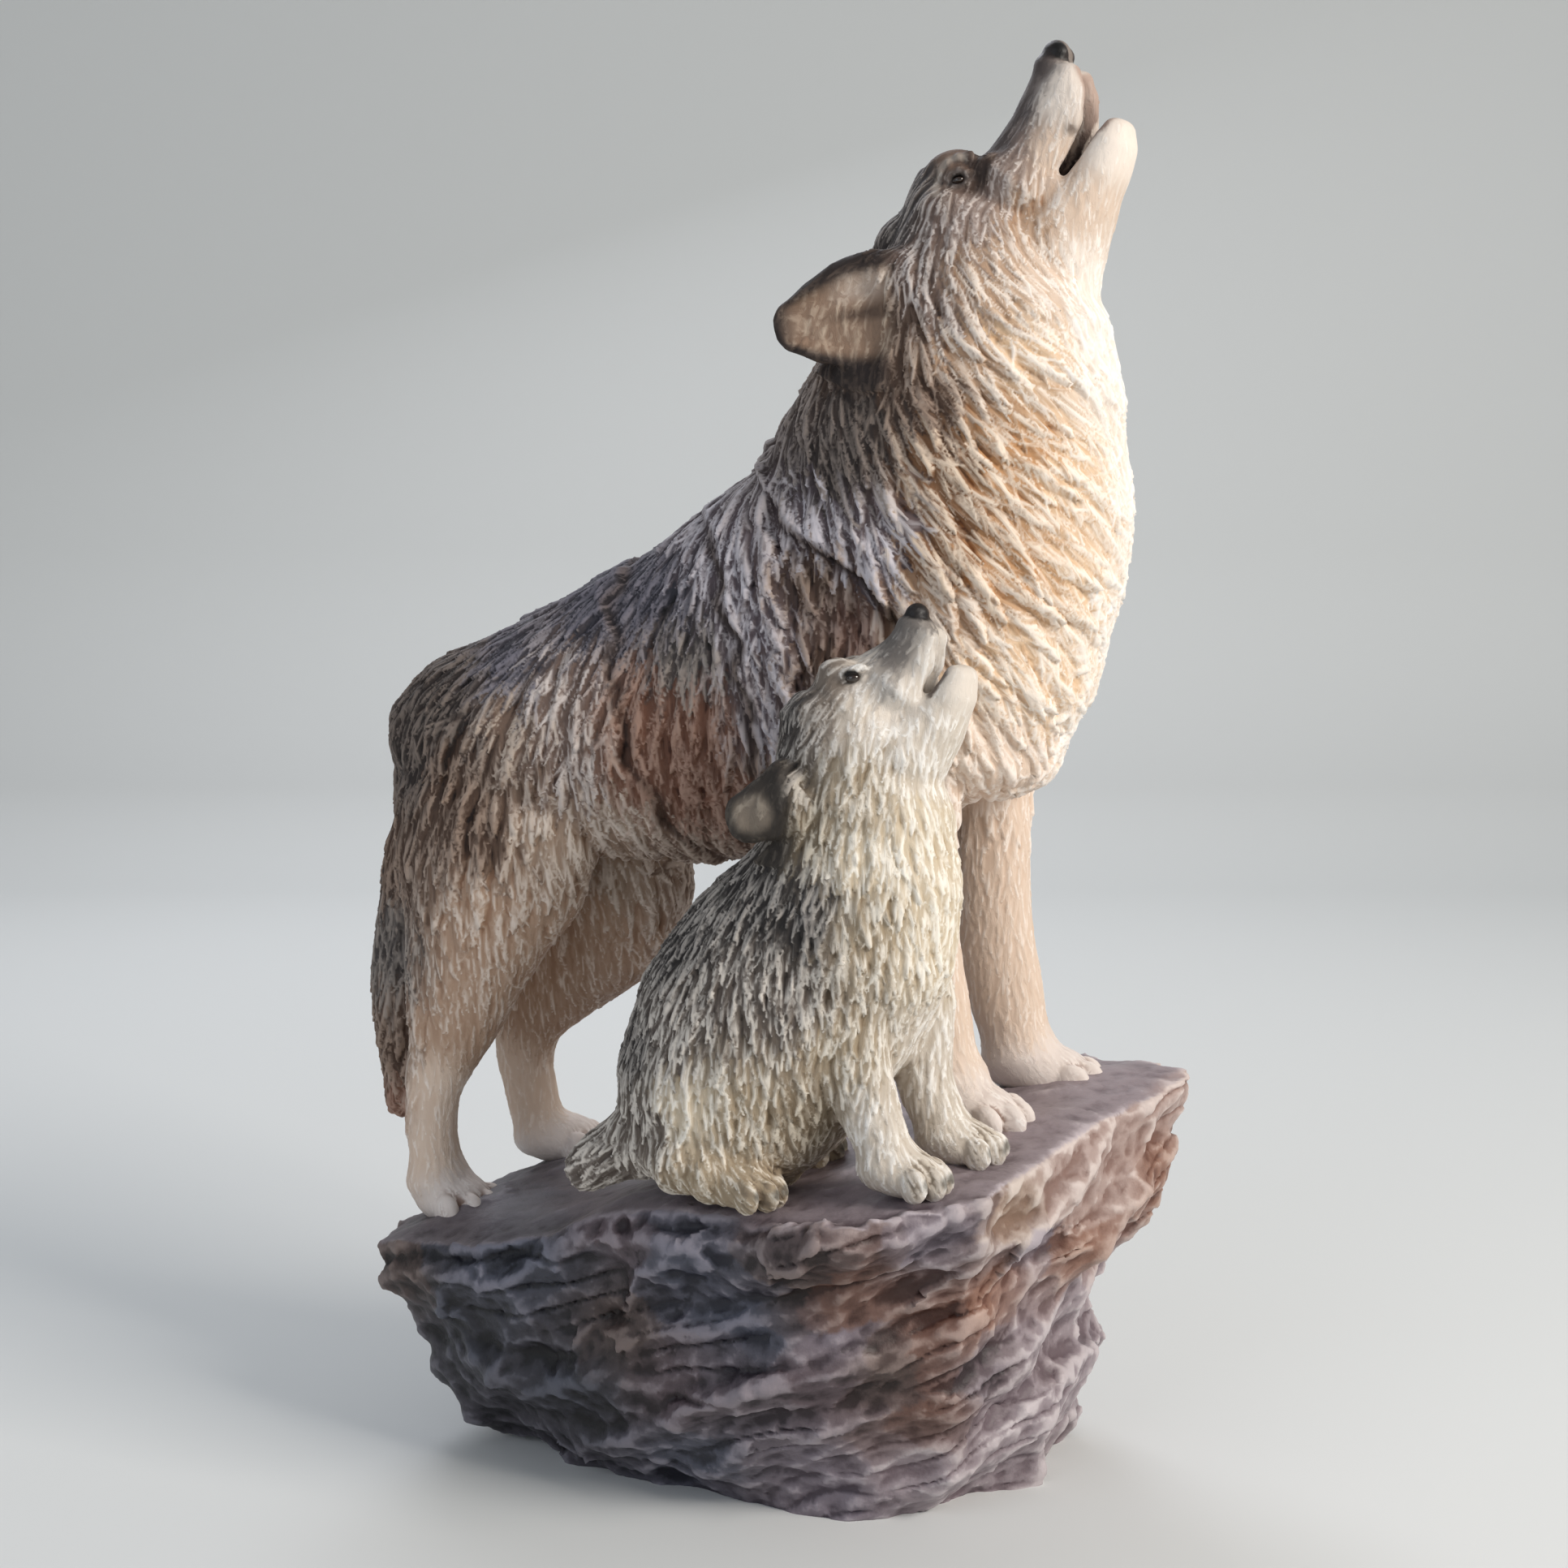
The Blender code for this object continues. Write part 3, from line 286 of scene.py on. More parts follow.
# The adult's coat
# Fur is modelled in the clay with a loop tool: deep tufts first, then locks that overlap like
# shingles and run together to a point in each tuft. Long hair lies over short along the mane, behind
# the shoulder and along the thigh. The chart says how the coat lies at places of the drawing.
#   forward, up, flow in degrees, tuft length and depth, lock length and depth, paint
ADULT_COAT = (
    (90, 322, 250, 5, 0, 4, 0.12, "bridge"), (86, 311, 246, 5, 0, 5, 0.2, "bridge"),
    (80, 303, 243, 5, 0, 5, 0.2, "bridge"), (95, 318, 258, 5, 0, 6, 0.28, "white"),
    (93, 311, 256, 5, 0, 6, 0.32, "white"), (92, 300, 256, 5, 0, 7, 0.4, "milk"),
    (86, 302, 250, 6, 0, 7, 0.45, "ash"), (82, 294, 254, 6, 0.2, 8, 0.55, "ash"),
    (76, 296, 250, 5, 0, 6, 0.35, "umber"), (72, 301, 240, 5, 0, 4, 0.15, "bridge"),
    (65, 298, 230, 5, 0, 5, 0.2, "taupe"), (57, 291, 236, 6, 0.2, 8, 0.5, "smoke"),
    (50, 281, 240, 8, 0.5, 10, 0.75, "smoke"), (43, 273, 235, 10, 0.7, 10, 0.8, "nape"),
    (65, 281, 258, 8, 0.5, 11, 0.8, "frost"), (57, 271, 254, 12, 1.0, 12, 1.0, "frost"),
    (75, 284, 260, 8, 0.4, 10, 0.65, "ash"), (88, 280, 275, 8, 0.4, 9, 0.6, "fawn"),
    (100, 284, 262, 6, 0.1, 8, 0.35, "milk"), (110, 298, 262, 5, 0, 4, 0.1, "white"),
    (103, 266, 280, 10, 0.5, 9, 0.5, "white"), (88, 266, 318, 14, 1.0, 12, 0.85, "milk"),
    (75, 264, 305, 16, 1.2, 13, 1.0, "fawn"), (63, 258, 288, 18, 1.8, 14, 1.15, "frost"),
    (47, 262, 256, 14, 1.2, 12, 1.0, "umber"), (51, 247, 272, 20, 2.2, 14, 1.2, "umber"),
    (65, 246, 312, 22, 2.4, 14, 1.2, "fawn"), (82, 246, 332, 24, 2.4, 15, 1.1, "cream"),
    (106, 242, 322, 26, 3.0, 15, 1.2, "white"), (108, 255, 300, 14, 1.6, 12, 0.9, "white"),
    # The umber at (56, 233) is partly painted shade of the crease behind the cheek ruff.
    (56, 233, 304, 24, 2.6, 15, 1.3, "umber"), (42, 226, 290, 24, 2.8, 15, 1.3, "nape"),
    (28, 213, 288, 26, 2.8, 15, 1.3, "nape"), (60, 215, 316, 30, 3.0, 16, 1.4, "bronze"),
    (78, 216, 326, 32, 3.2, 17, 1.3, "ochre"), (95, 212, 330, 32, 3.2, 17, 1.3, "cream"),
    (113, 212, 310, 30, 3.6, 16, 1.3, "white"), (24, 203, 296, 28, 3.2, 17, 1.5, "lilac"),
    (42, 195, 302, 30, 3.6, 18, 1.6, "lilac"), (60, 192, 308, 32, 3.6, 18, 1.5, "bronze"),
    (76, 186, 322, 34, 3.8, 18, 1.4, "ochre"), (98, 182, 322, 34, 3.6, 18, 1.3, "cream"),
    (112, 176, 305, 34, 3.8, 17, 1.3, "white"), (58, 172, 298, 32, 3.6, 18, 1.5, "fawn"),
    (74, 157, 308, 36, 3.8, 18, 1.4, "cream"), (94, 150, 306, 34, 3.6, 17, 1.3, "cream"),
    (104, 140, 296, 32, 3.4, 16, 1.2, "white"), (80, 132, 286, 30, 2.8, 15, 1.1, "peach"),
    (62, 138, 282, 30, 2.8, 15, 1.1, "peach"), (82, 112, 274, 14, 0.6, 8, 0.5, "peach"),
    (72, 90, 270, 9, 0.2, 7, 0.45, "peach"), (85, 73, 270, 9, 0.2, 7, 0.42, "peach"),
    (84, 45, 275, 8, 0.1, 6, 0.38, "peach"), (70, 55, 270, 8, 0.1, 6, 0.38, "peach"),
    (99, 32, 300, 5, 0, 4, 0.2, "paw"), (82, 18, 310, 5, 0, 4, 0.2, "paw"),
    (26, 183, 272, 20, 1.6, 11, 0.9, "umber"), (40, 166, 264, 20, 1.6, 11, 0.9, "russet"),
    (30, 152, 262, 20, 1.6, 11, 0.9, "umber"), (30, 128, 262, 20, 1.6, 11, 0.9, "umber"),
    (-4, 190, 285, 30, 3.0, 18, 1.4, "lilac"), (6, 166, 282, 32, 3.0, 18, 1.4, "lilac"),
    (14, 142, 278, 30, 3.0, 18, 1.4, "lilac"), (17, 122, 276, 26, 2.4, 16, 1.2, "taupe"),
    (-25, 178, 252, 28, 2.2, 14, 1.1, "slate"), (-12, 160, 262, 28, 2.2, 14, 1.1, "smoke"),
    (-10, 138, 266, 28, 2.4, 14, 1.1, "rust"), (-18, 114, 272, 28, 2.4, 14, 1.1, "rust"),
    (-27, 142, 264, 28, 2.4, 14, 1.1, "rust"), (-30, 122, 272, 28, 2.4, 14, 1.1, "rust"),
    (4, 112, 274, 26, 2.4, 14, 1.1, "rust"), (-17, 92, 270, 26, 2.2, 14, 1.0, "taupe"),
    (8, 94, 272, 26, 2.2, 14, 1.0, "umber"), (36, 105, 272, 24, 1.8, 12, 0.9, "umber"),
    (-54, 150, 258, 30, 2.8, 16, 1.2, "frost"), (-49, 128, 268, 30, 2.8, 16, 1.2, "frost"),
    (-38, 110, 285, 30, 2.8, 16, 1.2, "sand"), (-24, 95, 290, 26, 2.4, 14, 1.1, "taupe"),
    # The slate and nape paints on the back and rump are darker than the paint itself, partly painted
    # shade, as the light falls from the right.
    (-45, 172, 245, 26, 2.0, 13, 1.0, "slate"), (-68, 154, 242, 26, 2.2, 13, 1.0, "slate"),
    (-67, 137, 250, 26, 2.2, 13, 1.0, "taupe"), (-92, 143, 240, 26, 2.4, 13, 1.0, "nape"),
    (-111, 122, 252, 28, 2.6, 13, 1.0, "nape"), (-89, 121, 262, 28, 2.4, 13, 1.0, "umber"),
    (-81, 103, 266, 26, 2.0, 12, 0.9, "umber"), (-63, 101, 278, 26, 1.8, 12, 0.8, "sand"),
    (-47, 85, 284, 22, 1.4, 10, 0.6, "sand"), (-79, 74, 274, 18, 1.0, 9, 0.5, "tan"),
    (-58, 66, 272, 14, 0.5, 8, 0.4, "tan"), (-79, 52, 272, 12, 0.4, 8, 0.48, "tan"),
    (-92, 34, 268, 9, 0.3, 7, 0.42, "tan"), (-78, 30, 268, 9, 0.3, 7, 0.42, "tan"),
    (-98, 16, 270, 8, 0.1, 6, 0.36, "peach"), (-88, 4, 272, 8, 0.1, 6, 0.36, "peach"),
    (-103, -4, 272, 8, 0.1, 6, 0.36, "peach"), (-92, -20, 300, 5, 0, 4, 0.2, "paw"),
    (-72, -12, 300, 5, 0, 4, 0.2, "paw"), (-121, 98, 266, 34, 2.6, 18, 1.3, "umber"),
    (-124, 66, 268, 34, 2.8, 18, 1.3, "smoke"), (-123, 31, 268, 32, 2.6, 17, 1.2, "umber"),
    (-125, 5, 266, 24, 2.0, 14, 1.0, "rust"),
)
TUFT_SPACING = 8.5 * MM
LOCK_SPACING = 2.6 * MM * COARSER
# Edges where long hair overlies short: heights, then how far forward each edge runs there, and for
# the thigh the front edge of the band of long hair along it
LAYER_HEIGHTS = (85, 95, 110, 125, 138, 150, 162, 175, 190, 205)
MANE_EDGE = (68, 66, 64, 62, 60, 58, 53, 43, 20, 4)
BAND_FRONT = (24, 23, 21, 21, 22, 22, 18, 15, 12, 6)
BAND_BACK = (14, 13, 11, 9, 7, 5, 1, -3, -10, -24)
THIGH_FRONT = (-14, -20, -30, -35, -38, -40, -42, -42, -42, -42)
LAYER_SOFTNESS = 2.4
TIP_SPACINGS = (7.5, 12.1)
TIP_REACH = 3.2


def coat_values(chart, points):
    """Flow, tuft length and depth, lock length and depth, blended from the nearest chart entries."""
    rows = np.array([entry[:7] for entry in chart], np.float32)
    flow = np.stack([np.cos(np.radians(rows[:, 2])), np.sin(np.radians(rows[:, 2]))], axis=1)
    table = np.concatenate([flow, rows[:, 3:7]], axis=1)
    found = np.empty((len(points), 6), np.float32)
    for start in range(0, len(points), 40000):
        part = points[start:start + 40000] / MM
        gaps = (part[:, None, 0] - rows[None, :, 0]) ** 2 + (part[:, None, 2] - rows[None, :, 1]) ** 2
        weights = 1 / (gaps + 9) ** 2
        found[start:start + 40000] = (weights @ table) / weights.sum(axis=1, keepdims=True)
    return found


def unit(rows):
    return rows / np.maximum(np.linalg.norm(rows, axis=1, keepdims=True), 1e-9)


def scattered(cells, salt):
    """A number between 0 and 1 for each cell of a grid, the same on every mesh."""
    values = np.sin(cells @ np.array((127.1, 311.7, 74.7)) + salt * 269.5) * 43758.5453
    return values - np.floor(values)


def seeded(points, spacing):
    """One point in each cell of a grid, nearest to a scattered place in it, and the cells."""
    cells = np.floor(points.astype(float) / spacing)
    places = np.stack([scattered(cells, salt) for salt in (1, 2, 3)], axis=1)
    order = np.argsort(np.linalg.norm(points / spacing - cells - places, axis=1), kind="stable")
    chosen, first = np.unique(cells[order], axis=0, return_index=True)
    return order[first], chosen


def planted(points):
    tree = kdtree.KDTree(len(points))
    for i, point in enumerate(points):
        tree.insert(point, i)
    tree.balance()
    return tree


def comb(points, normals, ahead, sizes, spacing):
    """Lays overlapping locks. Sizes are each point's lock length, width and depth in metres.

    Gives how far each point rises, its topmost lock, where it lies across and along that lock,
    and the locks' roots and directions.
    """
    roots, cells = seeded(points, spacing)
    haired = sizes[roots, 2] > 0.05 * MM
    roots, cells = roots[haired], cells[haired]
    ahead = ahead[roots]
    ahead = unit(ahead - normals[roots] * (ahead * normals[roots]).sum(axis=1, keepdims=True))
    across = np.cross(normals[roots], ahead)
    bends = 0.22 * (2 * scattered(cells, 4) - 1)
    lengths = sizes[roots, 0] * (0.75 + 0.5 * scattered(cells, 5))
    halves = sizes[roots, 1] * 0.5 * (0.8 + 0.4 * scattered(cells, 6))
    depths = sizes[roots, 2] * (0.65 + 0.45 * scattered(cells, 7))
    tree = planted(points)
    rise = np.zeros(len(points), np.float32)
    top = np.full(len(points), -1)
    span = np.zeros(len(points), np.float32)
    run = np.zeros(len(points), np.float32)
    for i, root in enumerate(roots):
        length = lengths[i]
        middle = points[root] + ahead[i] * length / 2
        near = np.array([found[1] for found in tree.find_range(middle, length * 0.58)])
        if not len(near):
            continue
        near = near[normals[near] @ normals[root] > 0.1]
        offset = points[near] - points[root]
        along = offset @ ahead[i] / length
        reach = np.clip(along, 0, 1)
        tip = np.clip(1 - ((reach - 0.3) / 0.7) ** 2, 1e-4, 1) ** 0.7
        half = halves[i] * np.where(reach < 0.3, 0.55 + 1.5 * reach, tip)
        side = (offset @ across[i] + bends[i] * length * reach ** 2) / half
        lift = depths[i] * (0.25 + 0.75 * reach ** 0.8) * np.clip(1 - np.abs(side) ** 1.6, 0, 1)
        lift[(along < 0) | (along > 1)] = 0
        higher = lift > rise[near]
        chosen = near[higher]
        rise[chosen] = lift[higher]
        top[chosen] = i
        span[chosen] = side[higher]
        run[chosen] = along[higher]
    return rise, top, span, run, roots, ahead


def past_edge(drawn, edge):
    """How far forward of a coat edge each point is, where lock tips make the edge jagged."""
    forward, up = drawn[:, 0], drawn[:, 2]
    tips = np.abs((up + 0.4 * forward) / TIP_SPACINGS[0] % 2 - 1) + np.abs(up / TIP_SPACINGS[1] % 2 - 1)
    return forward - np.interp(up, LAYER_HEIGHTS, edge) + TIP_REACH * (tips - 1)


def above_legs(drawn):
    """Share of a coat edge that is left at each point; edges fade out higher on the front legs."""
    front = ramp(drawn[:, 0], 28, 48)
    return np.clip((drawn[:, 2] - LAYER_HEIGHTS[0] - 47 * front) / (40 - 18 * front) + 1, 0, 1)


def layered(drawn):
    """How far the flank and the shoulder lie under the long hair that overlaps them, in metres."""
    def past(edge):
        return np.clip(past_edge(drawn, edge) / LAYER_SOFTNESS + 0.5, 0, 1)
    mane = past(MANE_EDGE)
    band = past(BAND_BACK) - past(BAND_FRONT)
    thigh = 1 - past(THIGH_FRONT)
    lift = 2.8 * band + 2.0 * thigh - 3.6 * (1 - mane) + 1.6 * (1 - past(BAND_BACK))
    return above_legs(drawn) * MM * lift


def spread(values, first, second, rounds):
    """Values at points averaged with those of their neighbours, again and again."""
    links = np.bincount(first, minlength=len(values)) + np.bincount(second, minlength=len(values))
    for _ in range(rounds):
        values = (np.bincount(first, values[second], len(values))
                  + np.bincount(second, values[first], len(values))) / links
    return values


def standing_out(mesh, reach):
    """How far each point stands out from the skin around it, in millimetres."""
    points, normals = arrays(mesh)
    ends = np.empty(len(mesh.edges) * 2, np.int32)
    mesh.edges.foreach_get("vertices", ends)
    first, second = ends.reshape(-1, 2).T
    step = np.linalg.norm(points[first[:2000]] - points[second[:2000]], axis=1).mean() / MM
    rounds = max(2, round((reach / step) ** 2))
    eased = [spread(points[:, k].astype(float), first, second, rounds) for k in range(3)]
    eased = np.stack(eased, axis=1)
    out = ((points - eased) * normals).sum(axis=1) / MM
    return out - spread(out, first, second, 3 * rounds)


def furred(mesh, chart, spacings, slimness, seed, layers=None, kept=None):
    """Combs tufts and then locks into a skin.

    Spacings are of tufts and of locks, slimness is a lock's width for its length, layers says how
    far long hair lies over short, and kept says how much of the coat stays at each point. Gives
    each point's place on the drawing, how near it is to a lock's crest, the place whose paint it
    takes, its lock's tone, and where it lies across and along that lock.
    """
    draw = np.random.default_rng(seed)
    points, normals = arrays(mesh)
    drawn = points / MM
    values = coat_values(chart, points)
    if kept:
        values[:, (3, 5)] *= kept(drawn)[:, None]
    ahead = np.stack([values[:, 0], np.zeros(len(points)), values[:, 1]], axis=1)
    sizes = np.stack([values[:, 2], values[:, 2] * 0.34, values[:, 3]], axis=1) * MM
    rise, tuft, span, run, roots, lead = comb(points, normals, ahead, sizes, spacings[0])
    lift = rise - 0.55 * sizes[:, 2]
    if layers:
        lift += layers(drawn)
    points = points + normals * lift[:, None]
    move(mesh, points)
    points, normals = arrays(mesh)
    in_tuft = tuft >= 0
    gather = np.radians(24) * span * np.clip(run, 0, 1) * in_tuft
    lead_here = np.where(in_tuft[:, None], lead[tuft] if len(lead) else ahead, ahead)
    blended = unit(ahead * 0.5 + lead_here * 0.5)
    across = np.cross(normals, blended)
    swing = draw.uniform(-0.14, 0.14, len(points)) - gather
    ahead = blended * np.cos(swing)[:, None] + across * np.sin(swing)[:, None]
    sizes = np.stack([values[:, 4], values[:, 4] * slimness + 0.3, values[:, 5]], axis=1) * MM
    rise, lock, span, run, roots, _ = comb(points, normals, ahead, sizes, spacings[1])
    points = points + normals * (rise - 0.5 * sizes[:, 2])[:, None]
    move(mesh, points)
    has_lock = lock >= 0
    crest = np.clip(1 - np.abs(span) ** 1.5, 0, 1) * (0.6 + 0.4 * np.clip(run, 0, 1)) * has_lock
    shown = np.clip(standing_out(mesh, 3.0) / 0.9, -1, 1)
    ridge = 0.5 * crest + 0.25 + 0.25 * shown + 0.08
    ridge = 0.5 + (ridge - 0.5) * np.clip(values[:, 5] / 0.55, 0.3, 1)
    jitter = draw.normal(0, 0.14, (len(roots), 3)) * values[roots, 4:5] * MM
    paint_place = np.where(has_lock[:, None], (drawn[roots] * MM + jitter)[lock], drawn * MM)
    tone = np.where(has_lock, draw.uniform(-1, 1, len(roots))[lock], 0)
    strand = np.stack([span * sizes[:, 1] / 2, run * sizes[:, 0], tone * MM], axis=1)
    return drawn, ridge, paint_place, tone, strand


def bare_ears(drawn):
    """Ears keep only a little of the coat."""
    return 1 - 0.75 * ear_places(drawn)[2]


coat = furred(adult_form, ADULT_COAT, (TUFT_SPACING, LOCK_SPACING), 0.155, 7, layered, bare_ears)

# The adult's paint
# Matt acrylic, brushed thin over the primed resin. Each lock takes the paint of its root, a dark
# wash sits in the grooves and a nearly dry brush leaves the pale colour on the ridges.
#   name: (paint, dry brush)
ADULT_PAINTS = {
    "bridge": ("#463d3b", "#7d716b"), "white": ("#eee2d6", "#fffbf6"), "cream": ("#dfbf9c", "#fdf4e9"),
    "milk": ("#dcc4af", "#fbf3ea"), "ash": ("#8d7b72", "#e2d6cf"), "umber": ("#493529", "#a18b7b"),
    "taupe": ("#745e50", "#cdbcac"), "smoke": ("#423c3a", "#a3988f"), "nape": ("#2b2320", "#82756c"),
    "frost": ("#6d5a51", "#e0d6d0"), "fawn": ("#b39276", "#f5e8da"), "bronze": ("#7f5a3d", "#e4d1bb"),
    "ochre": ("#bd8c5f", "#f8e9d6"), "lilac": ("#594e53", "#d8d3d9"), "peach": ("#dec8b5", "#f9efe6"),
    "paw": ("#e4d9d2", "#fbf8f5"), "russet": ("#5d4238", "#a98f83"), "rust": ("#6a4534", "#ad8c7b"),
    "slate": ("#33323a", "#7e7a84"), "sand": ("#a28b78", "#e6d9cc"), "tan": ("#b3957e", "#eadccf"),
}


def linear(code):
    """An sRGB hex colour as linear red, green and blue."""
    values = np.array([int(code[i:i + 2], 16) / 255 for i in (1, 3, 5)])
    return np.where(values <= 0.04045, values / 12.92, ((values + 0.055) / 1.055) ** 2.4)


def coat_paint(chart, paints, places, sharpness=1.9):
    """Paint and dry brush colours at places, blended in square roots so that mixes stay bright."""
    rows = np.array([entry[:2] for entry in chart], np.float32)
    table = np.array([np.concatenate([linear(code) for code in paints[entry[-1]]]) for entry in chart])
    table = np.sqrt(table).astype(np.float32)
    found = np.empty((len(places), 6), np.float32)
    for start in range(0, len(places), 40000):
        part = places[start:start + 40000] / MM
        gaps = (part[:, None, 0] - rows[None, :, 0]) ** 2 + (part[:, None, 2] - rows[None, :, 1]) ** 2
        weights = 1 / (gaps + 12) ** sharpness
        found[start:start + 40000] = (weights @ table) / weights.sum(axis=1, keepdims=True)
    return found ** 2


def blend(colours, code_pair, share):
    """Paint laid over colours where share is 1."""
    over = np.concatenate([linear(code) for code in code_pair])
    return colours + (over - colours) * share[:, None]


def store(mesh, name, kind, values):
    layer = mesh.attributes.new(name, kind, "POINT")
    key = {"FLOAT": "value", "FLOAT_VECTOR": "vector", "FLOAT_COLOR": "color"}[kind]
    layer.data.foreach_set(key, np.ascontiguousarray(values, dtype=np.float32).ravel())


def store_paint(mesh, colours, ridge, tone, strand, gloss):
    """The attributes that the paint material reads."""
    alpha = np.ones((len(colours), 1))
    store(mesh, "paint", "FLOAT_COLOR", np.concatenate([colours[:, :3], alpha], axis=1))
    store(mesh, "brush", "FLOAT_COLOR", np.concatenate([colours[:, 3:], alpha], axis=1))
    store(mesh, "ridge", "FLOAT", np.clip(ridge, 0, 1))
    store(mesh, "tone", "FLOAT", tone)
    store(mesh, "strand", "FLOAT_VECTOR", strand / MM)
    store(mesh, "gloss", "FLOAT", gloss)


drawn, ridge, paint_place, tone, strand = coat
colours = coat_paint(ADULT_COAT, ADULT_PAINTS, paint_place)
_, normals = arrays(adult_form)
side = np.abs(drawn[:, 1])
ear_along, ear_across, on_ear = ear_places(drawn)
ear_edge = np.abs(ear_across)
ear_inner = on_ear * ramp(1 - ear_edge, 0.16, 0.45) * ramp(1 - ear_along, 0.1, 0.3)
ear_inner *= normals[:, 1] * np.sign(drawn[:, 1]) > 0
colours = blend(colours, ("#2a211e", "#5a4c43"), on_ear)
colours = blend(colours, ("#8f7663", "#d8c4ae"), ear_inner * 0.9)
ear_tuft = ear_inner * ramp(ear_across, 0.15, 0.5) * ramp(0.6 - ear_along, 0, 0.3)
colours = blend(colours, ("#b3a091", "#e4d8cc"), ear_tuft)
ear_fold = ear_inner * ramp(0.1 - np.abs(ear_across - 0.05), -0.1, 0.1) * ramp(0.65 - ear_along, 0, 0.3)
colours = blend(colours, ("#36261e", "#6a5446"), ear_fold * 0.8)
MOUTH_CORNER = np.array((90, 291))
gape = np.array((0.89, -0.46))
mouth_side = (drawn[:, [0, 2]] - MOUTH_CORNER) @ gape
mouth_along = (drawn[:, [0, 2]] - MOUTH_CORNER) @ np.array((0.46, 0.89))
facing_gape = normals[:, [0, 2]] @ gape * -np.sign(mouth_side - 3)
mouth_inside_and_shade = ramp(facing_gape, 0.05, 0.45) * ramp(8.2 - side, 0, 1.6)
mouth_inside_and_shade *= ramp(mouth_along, -1, 3) * ramp(35 - mouth_along, 0, 4)
mouth_inside_and_shade *= (np.abs(mouth_side - 3) < 11)
colours = blend(colours, ("#b39c8f", "#c4b0a4"), mouth_inside_and_shade)
# Towards the corner the inside of the mouth is darkened: painted shade deep in the open mouth.
colours = blend(colours, ("#3b2e2a", "#4a3b36"), mouth_inside_and_shade * ramp(26 - mouth_along, 0, 16))
NOSE_PLACE = (91.4, 0, 326.4)
NOSE_RADII = (5.4, 5.9, 5.2)
nose_gap = np.linalg.norm((drawn - np.array(NOSE_PLACE)) / np.array(NOSE_RADII), axis=1)
nose = ramp(1.25 - nose_gap, 0, 0.18)
colours = blend(colours, ("#2b2422", "#4d4540"), nose)
snout = drawn - np.array((93.4, 0, 326.4))
# A paler patch on the septum is a painted highlight on the glossy nose.
septum_highlight = nose * ramp(2.6 - side, 0, 1.0) * ramp(snout[:, 0], -1.5, 0.5)
colours = blend(colours, ("#857a72", "#a59b92"), septum_highlight)
# The nostrils, which are not carved, are painted near black: painted shade of their openings.
nostril_shade_gap = np.hypot(np.hypot(snout[:, 0] / 2.0, snout[:, 2] / 2.8), (side - 4.2) / 1.8)
colours = blend(colours, ("#0d0b0a", "#161210"), nose * ramp(1.25 - nostril_shade_gap, 0, 0.4))
whisker_gap = np.hypot(drawn[:, 0] - 99.2, drawn[:, 2] - 303.0)
whisker_spot = ramp(2.4 - whisker_gap, 0, 1.6) * (side > 6)
colours = blend(colours, ("#5d5048", "#8a7b70"), whisker_spot * 0.8)
# The stop in front of each eye is painted dark brown, partly its own dark paint and partly painted shade
# of the recess.
stop_paint_and_shade_gap = np.hypot((drawn[:, 0] - 75.2) / 2.6, (drawn[:, 2] - 293) / 4.2)
colours = blend(colours, ("#2c211d", "#493c36"), ramp(1.5 - stop_paint_and_shade_gap, 0, 0.8) * (side > 6) * 0.9)
fold_gap = np.abs(np.hypot(drawn[:, 0] - EYE_PLACE[0], drawn[:, 2] - EYE_PLACE[1]) - 6.6)
fold = ramp(1.7 - fold_gap, 0, 1.2) * (side > 10) * (drawn[:, 0] < 70) * (drawn[:, 2] > 285)
colours = blend(colours, ("#a3978c", "#dbd2c9"), fold * 0.9)
eye_gap = np.hypot(drawn[:, 0] - EYE_PLACE[0], 1.5 * (drawn[:, 2] - EYE_PLACE[1]))
eye_rim = ramp(5.2 - eye_gap, 0, 2.2) * (side > 12)
colours = blend(colours, ("#5b514c", "#a39b96"), eye_rim * 0.8)
colours = blend(colours, ("#1d1714", "#2a211d"), ramp(2.2 - eye_gap, 0, 0.6) * (side > 12))
# Just under the edges of the mane, the band and the thigh, where long hair overlies short, the colour is
# darkened: painted shade cast by the step.
on_flank = np.clip((drawn[:, 2] - 80) / 14, 0, 1) * ramp(206 - drawn[:, 2], 0, 26)
on_flank = on_flank * above_legs(drawn) ** 2
for edge, sign, depth in ((MANE_EDGE, -1, 0.9), (BAND_BACK, -1, 0.85), (THIGH_FRONT, 1, 0.6)):
    under = sign * past_edge(drawn, edge)
    painted_edge_shade = ramp(under, -2.5, 0.5) * ramp(5.5 - under, 0, 5) * on_flank * depth
    colours = blend(colours, ("#2a1f1a", "#6b584c"), painted_edge_shade)


def toe_gaps(drawn, ridge, paws, size):
    """Where the paint is dark between the toes of a paw."""
    gaps = np.zeros(len(drawn))
    for forward, up, out, turn in paws:
        yaw = math.radians(turn)
        away_from_paw = drawn - np.array((forward, out, up))
        ahead = away_from_paw[:, 0] * math.cos(yaw) + away_from_paw[:, 1] * math.sin(yaw)
        near = np.linalg.norm(away_from_paw, axis=1) < 1.25 * size[0]
        toe_end = near * ramp(ahead / size[0], 0.15, 0.5)
        gaps = np.maximum(gaps, toe_end * ramp(0.47 - ridge, 0, 0.12))
    return gaps


colours = blend(colours, ("#7d5c4b", "#a68573"), toe_gaps(drawn, ridge, PAWS, PAW_SIZE) * 0.85)
store_paint(adult_form, colours, ridge, tone, strand, nose * 0.6)


def node(tree, kind, inputs=None, **settings):
    """A node with its settings; inputs are sockets to link or values to set, by name or number."""
    made = tree.nodes.new(kind)
    for name, value in settings.items():
        setattr(made, name, value)
    for name, value in (inputs or {}).items():
        if isinstance(value, bpy.types.NodeSocket):
            tree.links.new(value, made.inputs[name])
        else:
            made.inputs[name].default_value = value
    return made


